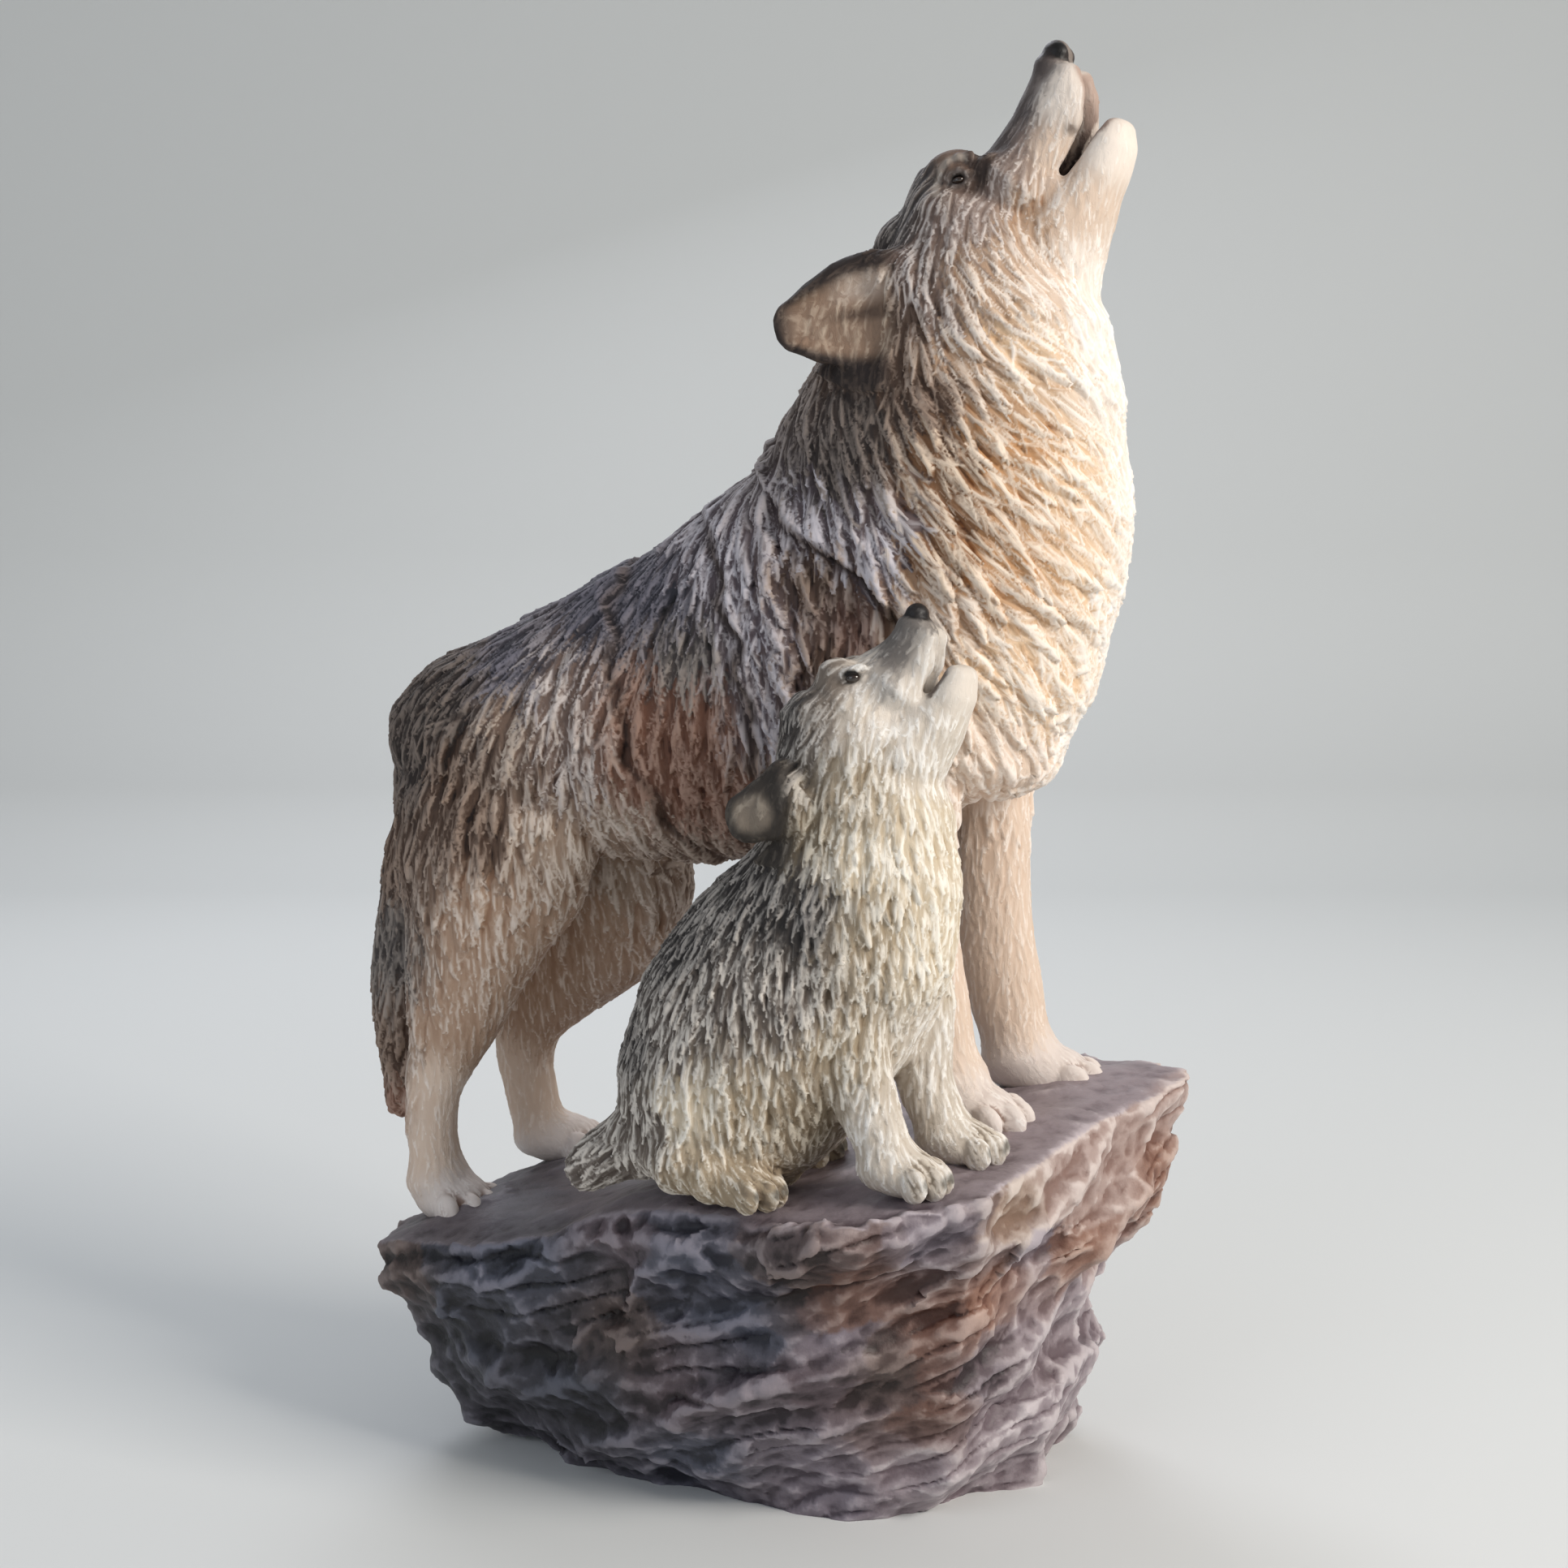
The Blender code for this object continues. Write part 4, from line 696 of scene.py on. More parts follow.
def painted_resin(name, hair_scale, hair_height):
    """Matt acrylic on cast resin: dull, with a wash in the grooves and pale dry brush on the ridges.

    Hair lines about 0.45 mm apart and 6 mm long, divided by hair_scale, run along each lock, and
    the paint is mottled in patches of about 4 mm. A varnished nose is smoother.
    """
    material = bpy.data.materials.new(name)
    material.use_nodes = True
    tree = material.node_tree
    shader = tree.nodes["Principled BSDF"]
    paint, brush = [node(tree, "ShaderNodeAttribute", attribute_name=layer).outputs["Color"]
                    for layer in ("paint", "brush")]
    ridge, tone, gloss = [node(tree, "ShaderNodeAttribute", attribute_name=layer).outputs["Fac"]
                          for layer in ("ridge", "tone", "gloss")]
    strand = node(tree, "ShaderNodeAttribute", attribute_name="strand").outputs["Vector"]
    place = node(tree, "ShaderNodeTexCoord").outputs["Object"]
    hair_place = node(tree, "ShaderNodeMapping",
                      {"Vector": strand, "Scale": (2.2 * hair_scale, 0.16 * hair_scale, 1.0)}).outputs[0]
    hair = node(tree, "ShaderNodeTexNoise", {"Vector": hair_place, "Scale": 1.0, "Detail": 2.0})
    hair = hair.outputs["Fac"]
    mottle = node(tree, "ShaderNodeTexNoise", {"Vector": place, "Scale": 260.0, "Detail": 3.0})
    mottle = mottle.outputs["Fac"]
    wash = node(tree, "ShaderNodeGamma", {"Color": paint, "Gamma": 1.6}).outputs[0]
    edge = node(tree, "ShaderNodeMath", {0: mottle, 1: 0.14, 2: ridge}, operation="MULTIPLY_ADD")
    edge = edge.outputs[0]
    clear = node(tree, "ShaderNodeMapRange", {"Value": edge, "From Min": 0.12, "From Max": 0.56},
                 interpolation_type="SMOOTHSTEP").outputs[0]
    base = node(tree, "ShaderNodeMix", {"Factor": clear, 6: wash, 7: paint}, data_type="RGBA").outputs[2]
    high = node(tree, "ShaderNodeMath", {0: hair, 1: 0.36, 2: edge}, operation="MULTIPLY_ADD").outputs[0]
    high = node(tree, "ShaderNodeMath", {0: tone, 1: 0.16, 2: high}, operation="MULTIPLY_ADD").outputs[0]
    pale = node(tree, "ShaderNodeMapRange",
                {"Value": high, "From Min": 0.74, "From Max": 1.22, "To Max": 0.85},
                interpolation_type="SMOOTHSTEP").outputs[0]
    colour = node(tree, "ShaderNodeMix", {"Factor": pale, 6: base, 7: brush}, data_type="RGBA")
    tree.links.new(colour.outputs[2], shader.inputs["Base Color"])
    rough = node(tree, "ShaderNodeMapRange", {"Value": gloss, "To Min": 0.62, "To Max": 0.28}).outputs[0]
    rough = node(tree, "ShaderNodeMath", {0: mottle, 1: 0.12, 2: rough}, operation="MULTIPLY_ADD")
    tree.links.new(rough.outputs[0], shader.inputs["Roughness"])
    shader.inputs["Specular IOR Level"].default_value = 0.35
    bump = node(tree, "ShaderNodeBump", {"Height": hair, "Strength": hair_height, "Distance": 0.0004})
    grit = node(tree, "ShaderNodeBump", {"Height": mottle, "Strength": 0.12, "Distance": 0.0003,
                                         "Normal": bump.outputs[0]})
    tree.links.new(grit.outputs[0], shader.inputs["Normal"])
    return material


def turned_head(points):
    """Points of the adult's drawing with the head turned a little to the pup's side."""
    share = ramp(points[:, 2] / MM, 236, 286)
    angle = -HEAD_TURN * share
    forward = points[:, 0] - HEAD_PIVOT[0] * MM
    out = points[:, 1] - HEAD_PIVOT[1] * MM
    return np.stack([HEAD_PIVOT[0] * MM + forward * np.cos(angle) - out * np.sin(angle),
                     HEAD_PIVOT[1] * MM + forward * np.sin(angle) + out * np.cos(angle),
                     points[:, 2]], axis=1)


def stand(mesh, foot, yaw, bend=None):
    """Stands a drawn animal, or a piece of one, in its place on the rock."""
    if bend:
        move(mesh, bend(arrays(mesh)[0]))
    mesh.transform(Matrix.Translation(foot) @ Matrix.Rotation(-yaw, 4, "Z"))


def keep_shading(mesh, triangles):
    """The skin thinned to a number of triangles, with the normals that it had in full."""
    store(mesh, "whole_normal", "FLOAT_VECTOR", arrays(mesh)[1])
    return thinned(mesh, triangles)


def shade_whole(mesh):
    """Shades a thinned skin, or a piece cut from it, as the full skin was."""
    mesh.shade_smooth()
    whole = np.empty(len(mesh.vertices) * 3, np.float32)
    mesh.attributes["whole_normal"].data.foreach_get("vector", whole)
    mesh.normals_split_custom_set_from_vertices(whole.reshape(-1, 3).tolist())
    mesh.attributes.remove(mesh.attributes["whole_normal"])


def cut_flat(bm, point, outward):
    """Takes off what lies past a plane and closes the cut."""
    cut = bmesh.ops.bisect_plane(bm, geom=bm.verts[:] + bm.edges[:] + bm.faces[:], plane_co=point,
                                 plane_no=outward, clear_outer=True)["geom_cut"]
    rim = [edge for edge in cut if isinstance(edge, bmesh.types.BMEdge)]
    caps = bmesh.ops.holes_fill(bm, edges=rim, sides=0)["faces"]
    bmesh.ops.triangulate(bm, faces=caps)


def cut_piece(name, mesh, planes):
    """A closed piece of a skin between planes, each a point and an outward direction."""
    bm = bmesh.new()
    bm.from_mesh(mesh)
    for point, outward in planes:
        cut_flat(bm, point, outward)
    piece = bpy.data.meshes.new(name)
    bm.to_mesh(piece)
    bm.free()
    shade_whole(piece)
    return piece


def place_piece(mesh, name, material):
    piece = bpy.data.objects.new(name, mesh)
    mesh.materials.clear()
    mesh.materials.append(material)
    bpy.context.scene.collection.objects.link(piece)
    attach(piece, "root")
    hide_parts("wolf_figurine")
    return piece


adult_coat_paint = painted_resin("matt_acrylic_on_adult_coat", 1.0, 0.55)
stand(adult_form, ADULT_FOOT, ADULT_YAW, turned_head)
COLLAR_HEIGHT = 228 * MM
GIRTH_FORWARD = 17 * MM
LOIN_FORWARD = -60 * MM
ADULT_TRIANGLES = 605000
collar = (ADULT_FOOT + Vector((0, 0, COLLAR_HEIGHT)), Vector((0.3, 0, 1)).normalized())
heading = Matrix.Rotation(-ADULT_YAW, 3, "Z") @ Vector((1, 0, 0))
girth = (ADULT_FOOT + heading * GIRTH_FORWARD, -heading)
loin = (ADULT_FOOT + heading * LOIN_FORWARD, -heading)


def away(plane):
    return plane[0], -plane[1]


adult_form = keep_shading(adult_form, ADULT_TRIANGLES)
for name, planes in (("wolf_head", [away(collar)]), ("wolf_forequarters", [collar, girth]),
                     ("wolf_flank", [collar, away(girth), loin]), ("wolf_hindquarters", [away(loin)])):
    place_piece(cut_piece(name, adult_form, planes), name, adult_coat_paint)

# The adult's eyes
# Small almonds between the lids, painted near black and varnished so that they catch the light.


def eyeballs(name, place, radii, tip):
    bm = bmesh.new()
    for side in (-1, 1):
        ball(bm, at(place[0], place[1], side * place[2]), radii, pitch=tip)
    mesh = bpy.data.meshes.new(name)
    bm.to_mesh(mesh)
    bm.free()
    mesh.shade_smooth()
    return mesh


def varnish(name):
    """Dark enamel under gloss varnish: near black brown, clouded every 1 mm, with a sharp highlight."""
    material = bpy.data.materials.new(name)
    material.use_nodes = True
    tree = material.node_tree
    shader = tree.nodes["Principled BSDF"]
    place = node(tree, "ShaderNodeTexCoord").outputs["Object"]
    cloud = node(tree, "ShaderNodeTexNoise", {"Vector": place, "Scale": 900.0}).outputs["Fac"]
    shade = node(tree, "ShaderNodeMix", {"Factor": cloud, 6: (*linear("#17110e"), 1),
                                         7: (*linear("#33231a"), 1)}, data_type="RGBA")
    tree.links.new(shade.outputs[2], shader.inputs["Base Color"])
    shader.inputs["Roughness"].default_value = 0.12
    shader.inputs["Coat Weight"].default_value = 0.8
    return material


eye_varnish = varnish("varnished_dark_enamel")
wolf_eyeball = (EYE_PLACE[0], EYE_PLACE[1] - 0.4, EYE_PLACE[2] + 0.3)
eyes = eyeballs("wolf_eyes", wolf_eyeball, EYE_RADII, math.radians(12))
stand(eyes, ADULT_FOOT, ADULT_YAW, turned_head)
place_piece(eyes, "wolf_eyes", eye_varnish)

# The pup
# Modelled and painted as the adult is, from softer masses: a round head, short legs, a barrel chest.
# It sits with its tail out behind, its hind feet flat and its fore paws side by side on the slab.
PUP_FOOT = Vector((0, -60, 100)) * MM
PUP_YAW = math.radians(20)
PUP_VOXEL = 0.62 * MM * COARSER
PUP_TRIANGLES = 185000
PUP_PAW_SIZE = (13, 8.5, 7)
PUP_PAWS = ((40, 11.5, -13, -6), (49, 14.5, 13, 6), (-5, 6.5, -22.5, -9), (-3, 7.5, 22.5, 9))
PUP_EYE_PLACE = (24.5, 149.0, 12.0)
PUP_EYE_RADII = (2.1, 1.8, 1.4)
PUP_NOSE_PLACE = (39.4, 0, 165.8)
PUP_NOSE_RADII = (3.8, 4.2, 3.8)
PUP_MOUTH_CORNER = np.array((44.6, 143.6))
#   forward, up, flow in degrees, tuft length and depth, lock length and depth, paint
PUP_COAT = (
    (41, 164, 240, 4, 0, 3.5, 0.12, "steel"), (38, 158, 248, 4, 0, 4, 0.2, "steel"),
    (44, 160, 256, 4, 0, 6, 0.35, "white"), (44, 152, 256, 4, 0, 6, 0.4, "white"),
    (33, 155, 240, 4, 0, 5, 0.3, "steel"), (28, 153, 240, 4, 0, 6, 0.4, "white"),
    (20, 149, 232, 6, 0.2, 5, 0.35, "greige"), (9, 139, 240, 8, 0.4, 7, 0.5, "soot"),
    (16, 140, 245, 8, 0.4, 7, 0.5, "greige"), (29, 140, 262, 9, 0.4, 7, 0.5, "chalk"),
    (36, 144, 258, 8, 0.2, 8, 0.5, "white"), (43, 139, 265, 8, 0.2, 8, 0.5, "chalk"),
    (55, 147, 262, 4, 0, 4, 0.1, "white"),
    (52, 126, 270, 10, 0.4, 7, 0.5, "chalk"), (29, 122, 262, 12, 0.8, 8, 0.75, "oat"),
    (4, 118, 250, 12, 0.9, 8, 0.85, "soot"), (15, 112, 260, 14, 1.1, 9, 0.95, "olive"),
    (44, 110, 284, 16, 1.2, 9, 0.95, "milk"), (29, 104, 270, 14, 1.2, 9, 0.95, "milk"),
    (48, 98, 284, 16, 1.3, 9, 0.95, "milk"), (-2, 93, 258, 14, 1.2, 9, 1.0, "soot"),
    (-24, 76, 250, 14, 1.2, 9, 1.0, "soot"), (15, 88, 262, 14, 1.2, 9, 1.0, "soot"),
    (33, 84, 272, 14, 1.2, 9, 0.95, "oat"), (48, 80, 276, 14, 1.2, 9, 0.9, "milk"),
    (-9, 66, 262, 14, 1.2, 9, 1.0, "pepper"), (10, 63, 266, 14, 1.1, 9, 1.0, "pepper"),
    (-38, 48, 262, 14, 1.1, 9, 1.0, "soot"), (-26, 52, 258, 14, 1.1, 9, 1.0, "pepper"),
    (-32, 26, 268, 14, 1.0, 8, 0.9, "pepper"), (-20, 31, 268, 14, 1.0, 8, 0.9, "milk"),
    (-2, 32, 276, 14, 1.0, 8, 0.85, "oat"), (-14, 12, 290, 10, 0.6, 6, 0.5, "oat"),
    (14, 28, 280, 12, 0.6, 8, 0.5, "olive"), (24, 50, 266, 12, 0.8, 8, 0.85, "oat"),
    (34, 27, 268, 9, 0.4, 7, 0.6, "chalk"), (48, 46, 270, 9, 0.4, 7, 0.55, "chalk"),
    (43, 12, 300, 5, 0, 5, 0.4, "chalk"), (-2, 8, 320, 6, 0.1, 5, 0.4, "oat"),
    (-50, 8, 215, 12, 0.8, 9, 0.8, "pepper"),
)
PUP_PAINTS = {
    "steel": ("#5b5653", "#aca7a2"), "white": ("#e0d6ca", "#fdfbf7"), "greige": ("#776b60", "#d8cfc5"),
    "soot": ("#2a2625", "#aea7a0"), "chalk": ("#cfc4b6", "#fbf8f3"), "oat": ("#a19078", "#f0e8da"),
    "olive": ("#72634f", "#dacfbc"), "milk": ("#cfbfa6", "#fcf7ec"), "pepper": ("#5c524b", "#e2dad0"),
}


def pup_body(bm):
    insteps(bm, PUP_PAWS, PUP_PAW_SIZE)
    tube(bm, [(-24, 3, 0, 24, 22), (-22, 14, 0, 29, 27), (-14, 32, 0, 36, 29),
              (-2, 52, 0, 38, 28), (13, 72, 0, 36, 26), (22, 90, 0, 31, 24),
              (24, 106, 0, 26, 22), (25, 119, 0, 23, 20), (26, 127, 0, 15, 14)])
    for side in (-1, 1):
        ball(bm, at(-16, 30, side * 15), (25, 14, 25))
        tube(bm, [(-28, 14, side * 20, 9, 8), (-18, 9.5, side * 22, 7.5, 8),
                  (-8, 9, side * 22.5, 7, 7.5)])
    tube(bm, [(16, 78, -12, 18, 11), (21, 58, -13, 14, 10), (25, 42, -13, 11.5, 8.5),
              (29, 30, -13, 9.5, 7.5), (34, 19, -13, 8, 7.5), (37, 8, -13, 7, 7)])
    tube(bm, [(27, 84, 11, 13, 10), (31, 68, 12, 13, 10), (35, 54, 13, 12, 9), (37, 41, 13, 10, 7.5),
              (39, 30, 13, 8.5, 7.5), (43, 21, 13, 8, 8), (46, 12, 13, 7, 7)])
    tube(bm, [(-36, 14, -8, 9, 9), (-48, 9, -11, 9, 8), (-56, 4, -12, 7.5, 7),
              (-61, -1, -12, 3.5, 4)])


def pup_head(bm):
    tube(bm, [(23, 114, 0, 14, 13), (22, 124, 0, 22, 20), (18, 136, 0, 19, 18), (16, 146, 0, 12, 12)])
    tube(bm, [(18, 134, 0, 14, 14), (29, 145, 0, 12, 13), (35.5, 153, 0, 8.2, 9),
              (38.5, 160, 0, 6, 6.6), (39.5, 165, 0, 4, 4.8)])
    for side in (-1, 1):
        tube(bm, [(30, 142, side * 7, 7, 5), (38, 151, side * 5.5, 6.5, 3.6),
                  (42, 158, side * 4.2, 4.6, 2.9), (42.8, 162.5, side * 3.2, 2.6, 2.2)])
        ball(bm, at(19, 150, side * 8), (6, 5, 4))
        tube(bm, [(12, 116, side * 15, 10, 6), (4, 113, side * 18, 9.5, 5),
                  (-3, 110, side * 19.5, 7.5, 4.4), (-9, 108, side * 20, 4, 3)])
    tube(bm, [(22, 119, 0, 9, 10), (30, 126, 0, 16, 16), (42, 134.5, 0, 11.5, 12), (48.4, 142, 0, 7.4, 9),
              (51.2, 148.5, 0, 5.4, 7.2), (52, 152, 0, 3, 4.4)], scoop=(-1, 0), share=0.5)


def pup_features(bm):
    ball(bm, at(39.2, 165.6), (3.4, 3.8, 3.4), pitch=math.radians(60))
    for side in (-1, 1):
        forward, up, out = PUP_EYE_PLACE
        ball(bm, at(forward, up + 1.2, side * (out - 0.4)), (4.2, 2.4, 1.9), pitch=math.radians(20))
    toes(bm, PUP_PAWS, PUP_PAW_SIZE)


pup_form = skin("pup_body", pup_body, 1.2 * MM * COARSER, 5)
pup_form = skin("pup_head", pup_head, 0.85 * MM * COARSER, 3, pup_form)
pup_form = skin("pup_skin", pup_features, PUP_VOXEL, 2, pup_form)


def pup_ears(drawn):
    """Share of each point that lies on an ear."""
    on_ear = (np.abs(drawn[:, 1]) > 14.5) * (drawn[:, 2] > 96) * (drawn[:, 2] < 126)
    return ramp(12 - drawn[:, 0], 0, 6) * on_ear


def bare_pup_ears(drawn):
    return 1 - 0.8 * pup_ears(drawn)


PUP_SPACINGS = (6.5 * MM, 2.4 * MM * COARSER)
coat = furred(pup_form, PUP_COAT, PUP_SPACINGS, 0.24, 11, kept=bare_pup_ears)
drawn, ridge, paint_place, tone, strand = coat
colours = coat_paint(PUP_COAT, PUP_PAINTS, paint_place)
side = np.abs(drawn[:, 1])
_, normals = arrays(pup_form)
pup_ear = pup_ears(drawn)
colours = blend(colours, ("#352f2a", "#6d645a"), pup_ear)
pup_ear_inner = ramp(7.5 - np.hypot(drawn[:, 0] + 1, 1.1 * (drawn[:, 2] - 111)), 0, 3.5) * pup_ear
pup_ear_inner *= normals[:, 1] * np.sign(drawn[:, 1]) > 0.3
colours = blend(colours, ("#7b7064", "#b3a898"), pup_ear_inner * 0.85)
gape_along = (drawn[:, [0, 2]] - PUP_MOUTH_CORNER) @ np.array((0.55, 0.84))
gape_across = (drawn[:, [0, 2]] - PUP_MOUTH_CORNER) @ np.array((0.84, -0.55))
pup_mouth = ramp(1.5 - np.abs(gape_across), 0, 0.9) * (side < 8)
pup_mouth = pup_mouth * ramp(gape_along, -1, 0.5) * ramp(12 - gape_along, 0, 5)
colours = blend(colours, ("#4b3e38", "#66574f"), pup_mouth * 0.9)
nose_gap = np.linalg.norm((drawn - np.array(PUP_NOSE_PLACE)) / np.array(PUP_NOSE_RADII), axis=1)
nose = ramp(1.25 - nose_gap, 0, 0.2)
colours = blend(colours, ("#1d1a1a", "#332e2d"), nose)
eye_gap = np.hypot(drawn[:, 0] - PUP_EYE_PLACE[0], 1.3 * (drawn[:, 2] - PUP_EYE_PLACE[1]))
colours = blend(colours, ("#15110f", "#241d1a"), ramp(2.9 - eye_gap, 0, 0.8) * (side > 8))
for forward, up, out, turn in PUP_PAWS:
    for across, ahead in TOE_PLACES:
        reach = Vector((ahead + 0.28, across, -0.1)) * Vector(PUP_PAW_SIZE)
        reach = Matrix.Rotation(math.radians(turn), 3, "Z") @ reach
        claw = np.array((forward, out, up)) + np.array(reach)
        claw_gap = np.linalg.norm(drawn - claw, axis=1)
        colours = blend(colours, ("#57544d", "#7d7a72"), ramp(2.3 - claw_gap, 0, 1.1) * 0.85)
colours = blend(colours, ("#7a6c5c", "#a89a88"), toe_gaps(drawn, ridge, PUP_PAWS, PUP_PAW_SIZE) * 0.8)
store_paint(pup_form, colours, ridge, tone, strand, nose * 0.7)
stand(pup_form, PUP_FOOT, PUP_YAW)
pup_form = keep_shading(pup_form, PUP_TRIANGLES)
shade_whole(pup_form)
place_piece(pup_form, "wolf_pup", painted_resin("matt_acrylic_on_pup_coat", 1.2, 0.55))
pup_eyeball = (PUP_EYE_PLACE[0], PUP_EYE_PLACE[1] - 0.6, PUP_EYE_PLACE[2] + 0.2)
eyes = eyeballs("pup_eyes", pup_eyeball, PUP_EYE_RADII, 0.2)
stand(eyes, PUP_FOOT, PUP_YAW)
place_piece(eyes, "pup_eyes", eye_varnish)

# The rock
# A leaning slab on a boulder, knocked out of layered stone: strata rise to the right, their broken
# edges are faceted and chipped, and a scooped hollow sits under the pup's fore paws.
GROUND = 97
ROCK_TILT = math.radians(13)
ROCK_VOXEL = 1.1 * MM * COARSER
ROCK_TRIANGLES = 165000
STRATA_TILT = math.radians(20)
COURSE_HEIGHT = 24 * MM
BED_HEIGHT = 7.5 * MM
BED_GROOVE = 1.3 * MM
#   size of the breaks, how far they stretch along the strata, slope, scoop
BREAKS = (25 * MM, 1.9, 0.38, 0.42)
#   size in millimetres, slope, share of the cut
CHIPS = ((11, 0.36, 0.85), (5.5, 0.34, 0.55), (3.2, 0.5, 0.5))
RIM = ((129, -5, 3), (108, -32, 4), (84, -60, 3), (55, -96, 4), (18, -101, 4), (-22, -80, -3),
       (-60, -58, -3), (-100, -32, 2), (-133, -6, 1), (-118, 32, 2), (-72, 60, 1), (-15, 66, 1),
       (45, 54, 0), (98, 28, 0))
SLAB_FOOT = ((123, -4, 37), (104, -30, 39), (82, -56, 40), (54, -86, 39), (16, -90, 35),
             (-24, -74, 25), (-62, -56, 21), (-98, -30, 17), (-131, -5, 12), (-113, 30, 16),
             (-68, 55, 21), (-12, 60, 26), (44, 50, 29), (94, 26, 33))
WAIST = ((96, -2, 53), (86, -28, 49), (73, -50, 46), (48, -78, 46), (12, -82, 44), (-28, -70, 42),
         (-64, -50, 42), (-100, -26, 42), (-122, 0, 42), (-104, 30, 40), (-62, 52, 42),
         (-10, 58, 46), (42, 50, 50), (80, 26, 51))
BOULDER = ((103, 2, 35), (95, -25, 28), (78, -48, 24), (48, -68, 22), (12, -70, 22), (-26, -60, 20),
           (-60, -42, 20), (-90, -20, 20), (-112, 2, 20), (-92, 28, 20), (-54, 46, 20), (-8, 54, 22),
           (42, 52, 25), (84, 32, 28))
FOOTING = ((84, 4), (80, -18), (66, -38), (42, -54), (10, -54), (-20, -46), (-42, -30), (-56, -14),
           (-64, 2), (-54, 22), (-32, 38), (-2, 48), (38, 46), (70, 28))


def standing(across):
    """Height of the sloping top of the slab, in millimetres."""
    return GROUND + math.tan(ROCK_TILT) * across


def rock_blocks(bm):
    """The rock's courses, bridged from the foot to the rim and closed over the top."""
    courses = [[Vector((x, y, -6)) for x, y in FOOTING]]
    courses += [[Vector(point) for point in course] for course in (BOULDER, WAIST)]
    courses += [[Vector((x, y, standing(x) - drop)) for x, y, drop in course]
                for course in (SLAB_FOOT, RIM)]
    courses.append([Vector((p.x * 0.75, p.y * 0.75, standing(p.x * 0.75) + 3)) for p in courses[-1]])
    loops = []
    for course in courses:
        verts = [bm.verts.new(point * MM) for point in course]
        loops.append([bm.edges.new((verts[i - 1], verts[i])) for i in range(len(verts))])
    for lower, upper in zip(loops, loops[1:]):
        bmesh.ops.bridge_loops(bm, edges=lower + upper)
    for loop in (loops[0], loops[-1]):
        bmesh.ops.contextual_create(bm, geom=loop)


def breaks(points, size, stretch, slope, scoop):
    """Scooped breaks that meet in sharp ridges: how far each point rises, and the seed of its break."""
    lean = math.cos(STRATA_TILT), math.sin(STRATA_TILT)
    grain = points.copy()
    grain[:, 0] = (points[:, 0] * lean[0] + points[:, 2] * lean[1]) / stretch
    grain[:, 2] = points[:, 2] * lean[0] - points[:, 0] * lean[1]
    seeds, cells = seeded(grain, size)
    slopes = slope * (2 * np.stack([scattered(cells, salt) for salt in (4, 5, 6)], axis=1) - 1)
    tree = planted(grain[seeds])
    near = np.array([[found[1] for found in tree.find_n(point, 6)] for point in grain])
    offset = grain[:, None, :] - grain[seeds][near]
    sinks = (offset * slopes[near]).sum(axis=2) + scoop / size * (offset ** 2).sum(axis=2)
    lowest = sinks.min(axis=1)
    own = near[np.arange(len(near)), sinks.argmin(axis=1)]
    return lowest - np.median(lowest), seeds[own]


bm = bmesh.new()
rock_blocks(bm)
bmesh.ops.recalc_face_normals(bm, faces=bm.faces)
rock_form = bpy.data.meshes.new("rock")
bm.to_mesh(rock_form)
bm.free()
rock_form = remeshed(rock_form, 2.2 * MM, 6)
points, normals = arrays(rock_form)
upright = np.clip(1.6 - 2 * np.abs(normals[:, 2]), 0, 1)
flat_top = ramp(normals[:, 2], 0.7, 0.85) * (points[:, 2] > 0.05)
wave = np.array([noise.noise(Vector(p) / 0.06) for p in points]) * 14 * MM
height = points[:, 2] * math.cos(STRATA_TILT) - points[:, 0] * math.sin(STRATA_TILT) + wave
course = (height / COURSE_HEIGHT) % 1
ledge = 6 * MM * (np.where(course < 0.8, course / 0.8, (1 - course) / 0.2) - 0.5) * upright
scoop = np.exp(-((points[:, 0] - 0.034) / 0.042) ** 2 - ((points[:, 2] - 0.07) / 0.015) ** 2)
scoop *= 9 * MM * (normals[:, 1] < -0.3)
away_from_mound = np.hypot(points[:, 0] + 0.034, points[:, 1] + 0.058) / 0.034
mound = 5 * MM * np.clip(1 - away_from_mound ** 2, 0, 1) * flat_top
cut, _ = breaks(points, *BREAKS)
cut *= 1 - 0.7 * flat_top
move(rock_form, points + normals * (0.75 * ledge - scoop + mound + cut)[:, None])
rock_form = remeshed(rock_form, ROCK_VOXEL, 2)
points, normals = arrays(rock_form)
carved = points.copy()
flat_top = ramp(normals[:, 2], 0.7, 0.85) * (points[:, 2] > 0.05)
_, own_break = breaks(points, *BREAKS)
own_chips = []
for size, slope, share in CHIPS:
    cut, own_chip = breaks(points, size * MM, 1.8, slope, 0.36)
    carved = carved + normals * (cut * share * (1 - 0.75 * flat_top))[:, None]
    own_chips.append(own_chip)
beds = points[:, 2] * math.cos(STRATA_TILT) - points[:, 0] * math.sin(STRATA_TILT)
beds += np.array([noise.noise(Vector(p) / 0.03) for p in points]) * 6 * MM
bed = (beds / BED_HEIGHT) % 1
upright = np.clip(1.6 - 2 * np.abs(normals[:, 2]), 0, 1)
split = np.array([noise.noise(Vector(p) / 0.045 + Vector((7, 3, 1))) for p in points])
groove = BED_GROOVE * ramp(np.abs(bed - 0.5), 0.36, 0.5) * upright * ramp(split, -0.1, 0.25)
carved -= normals * groove[:, None]
rough = np.array([noise.fractal(Vector(p) / 0.005, 0.8, 2.2, 3) for p in points])
carved += normals * (rough * 0.28 * MM)[:, None]
move(rock_form, carved)

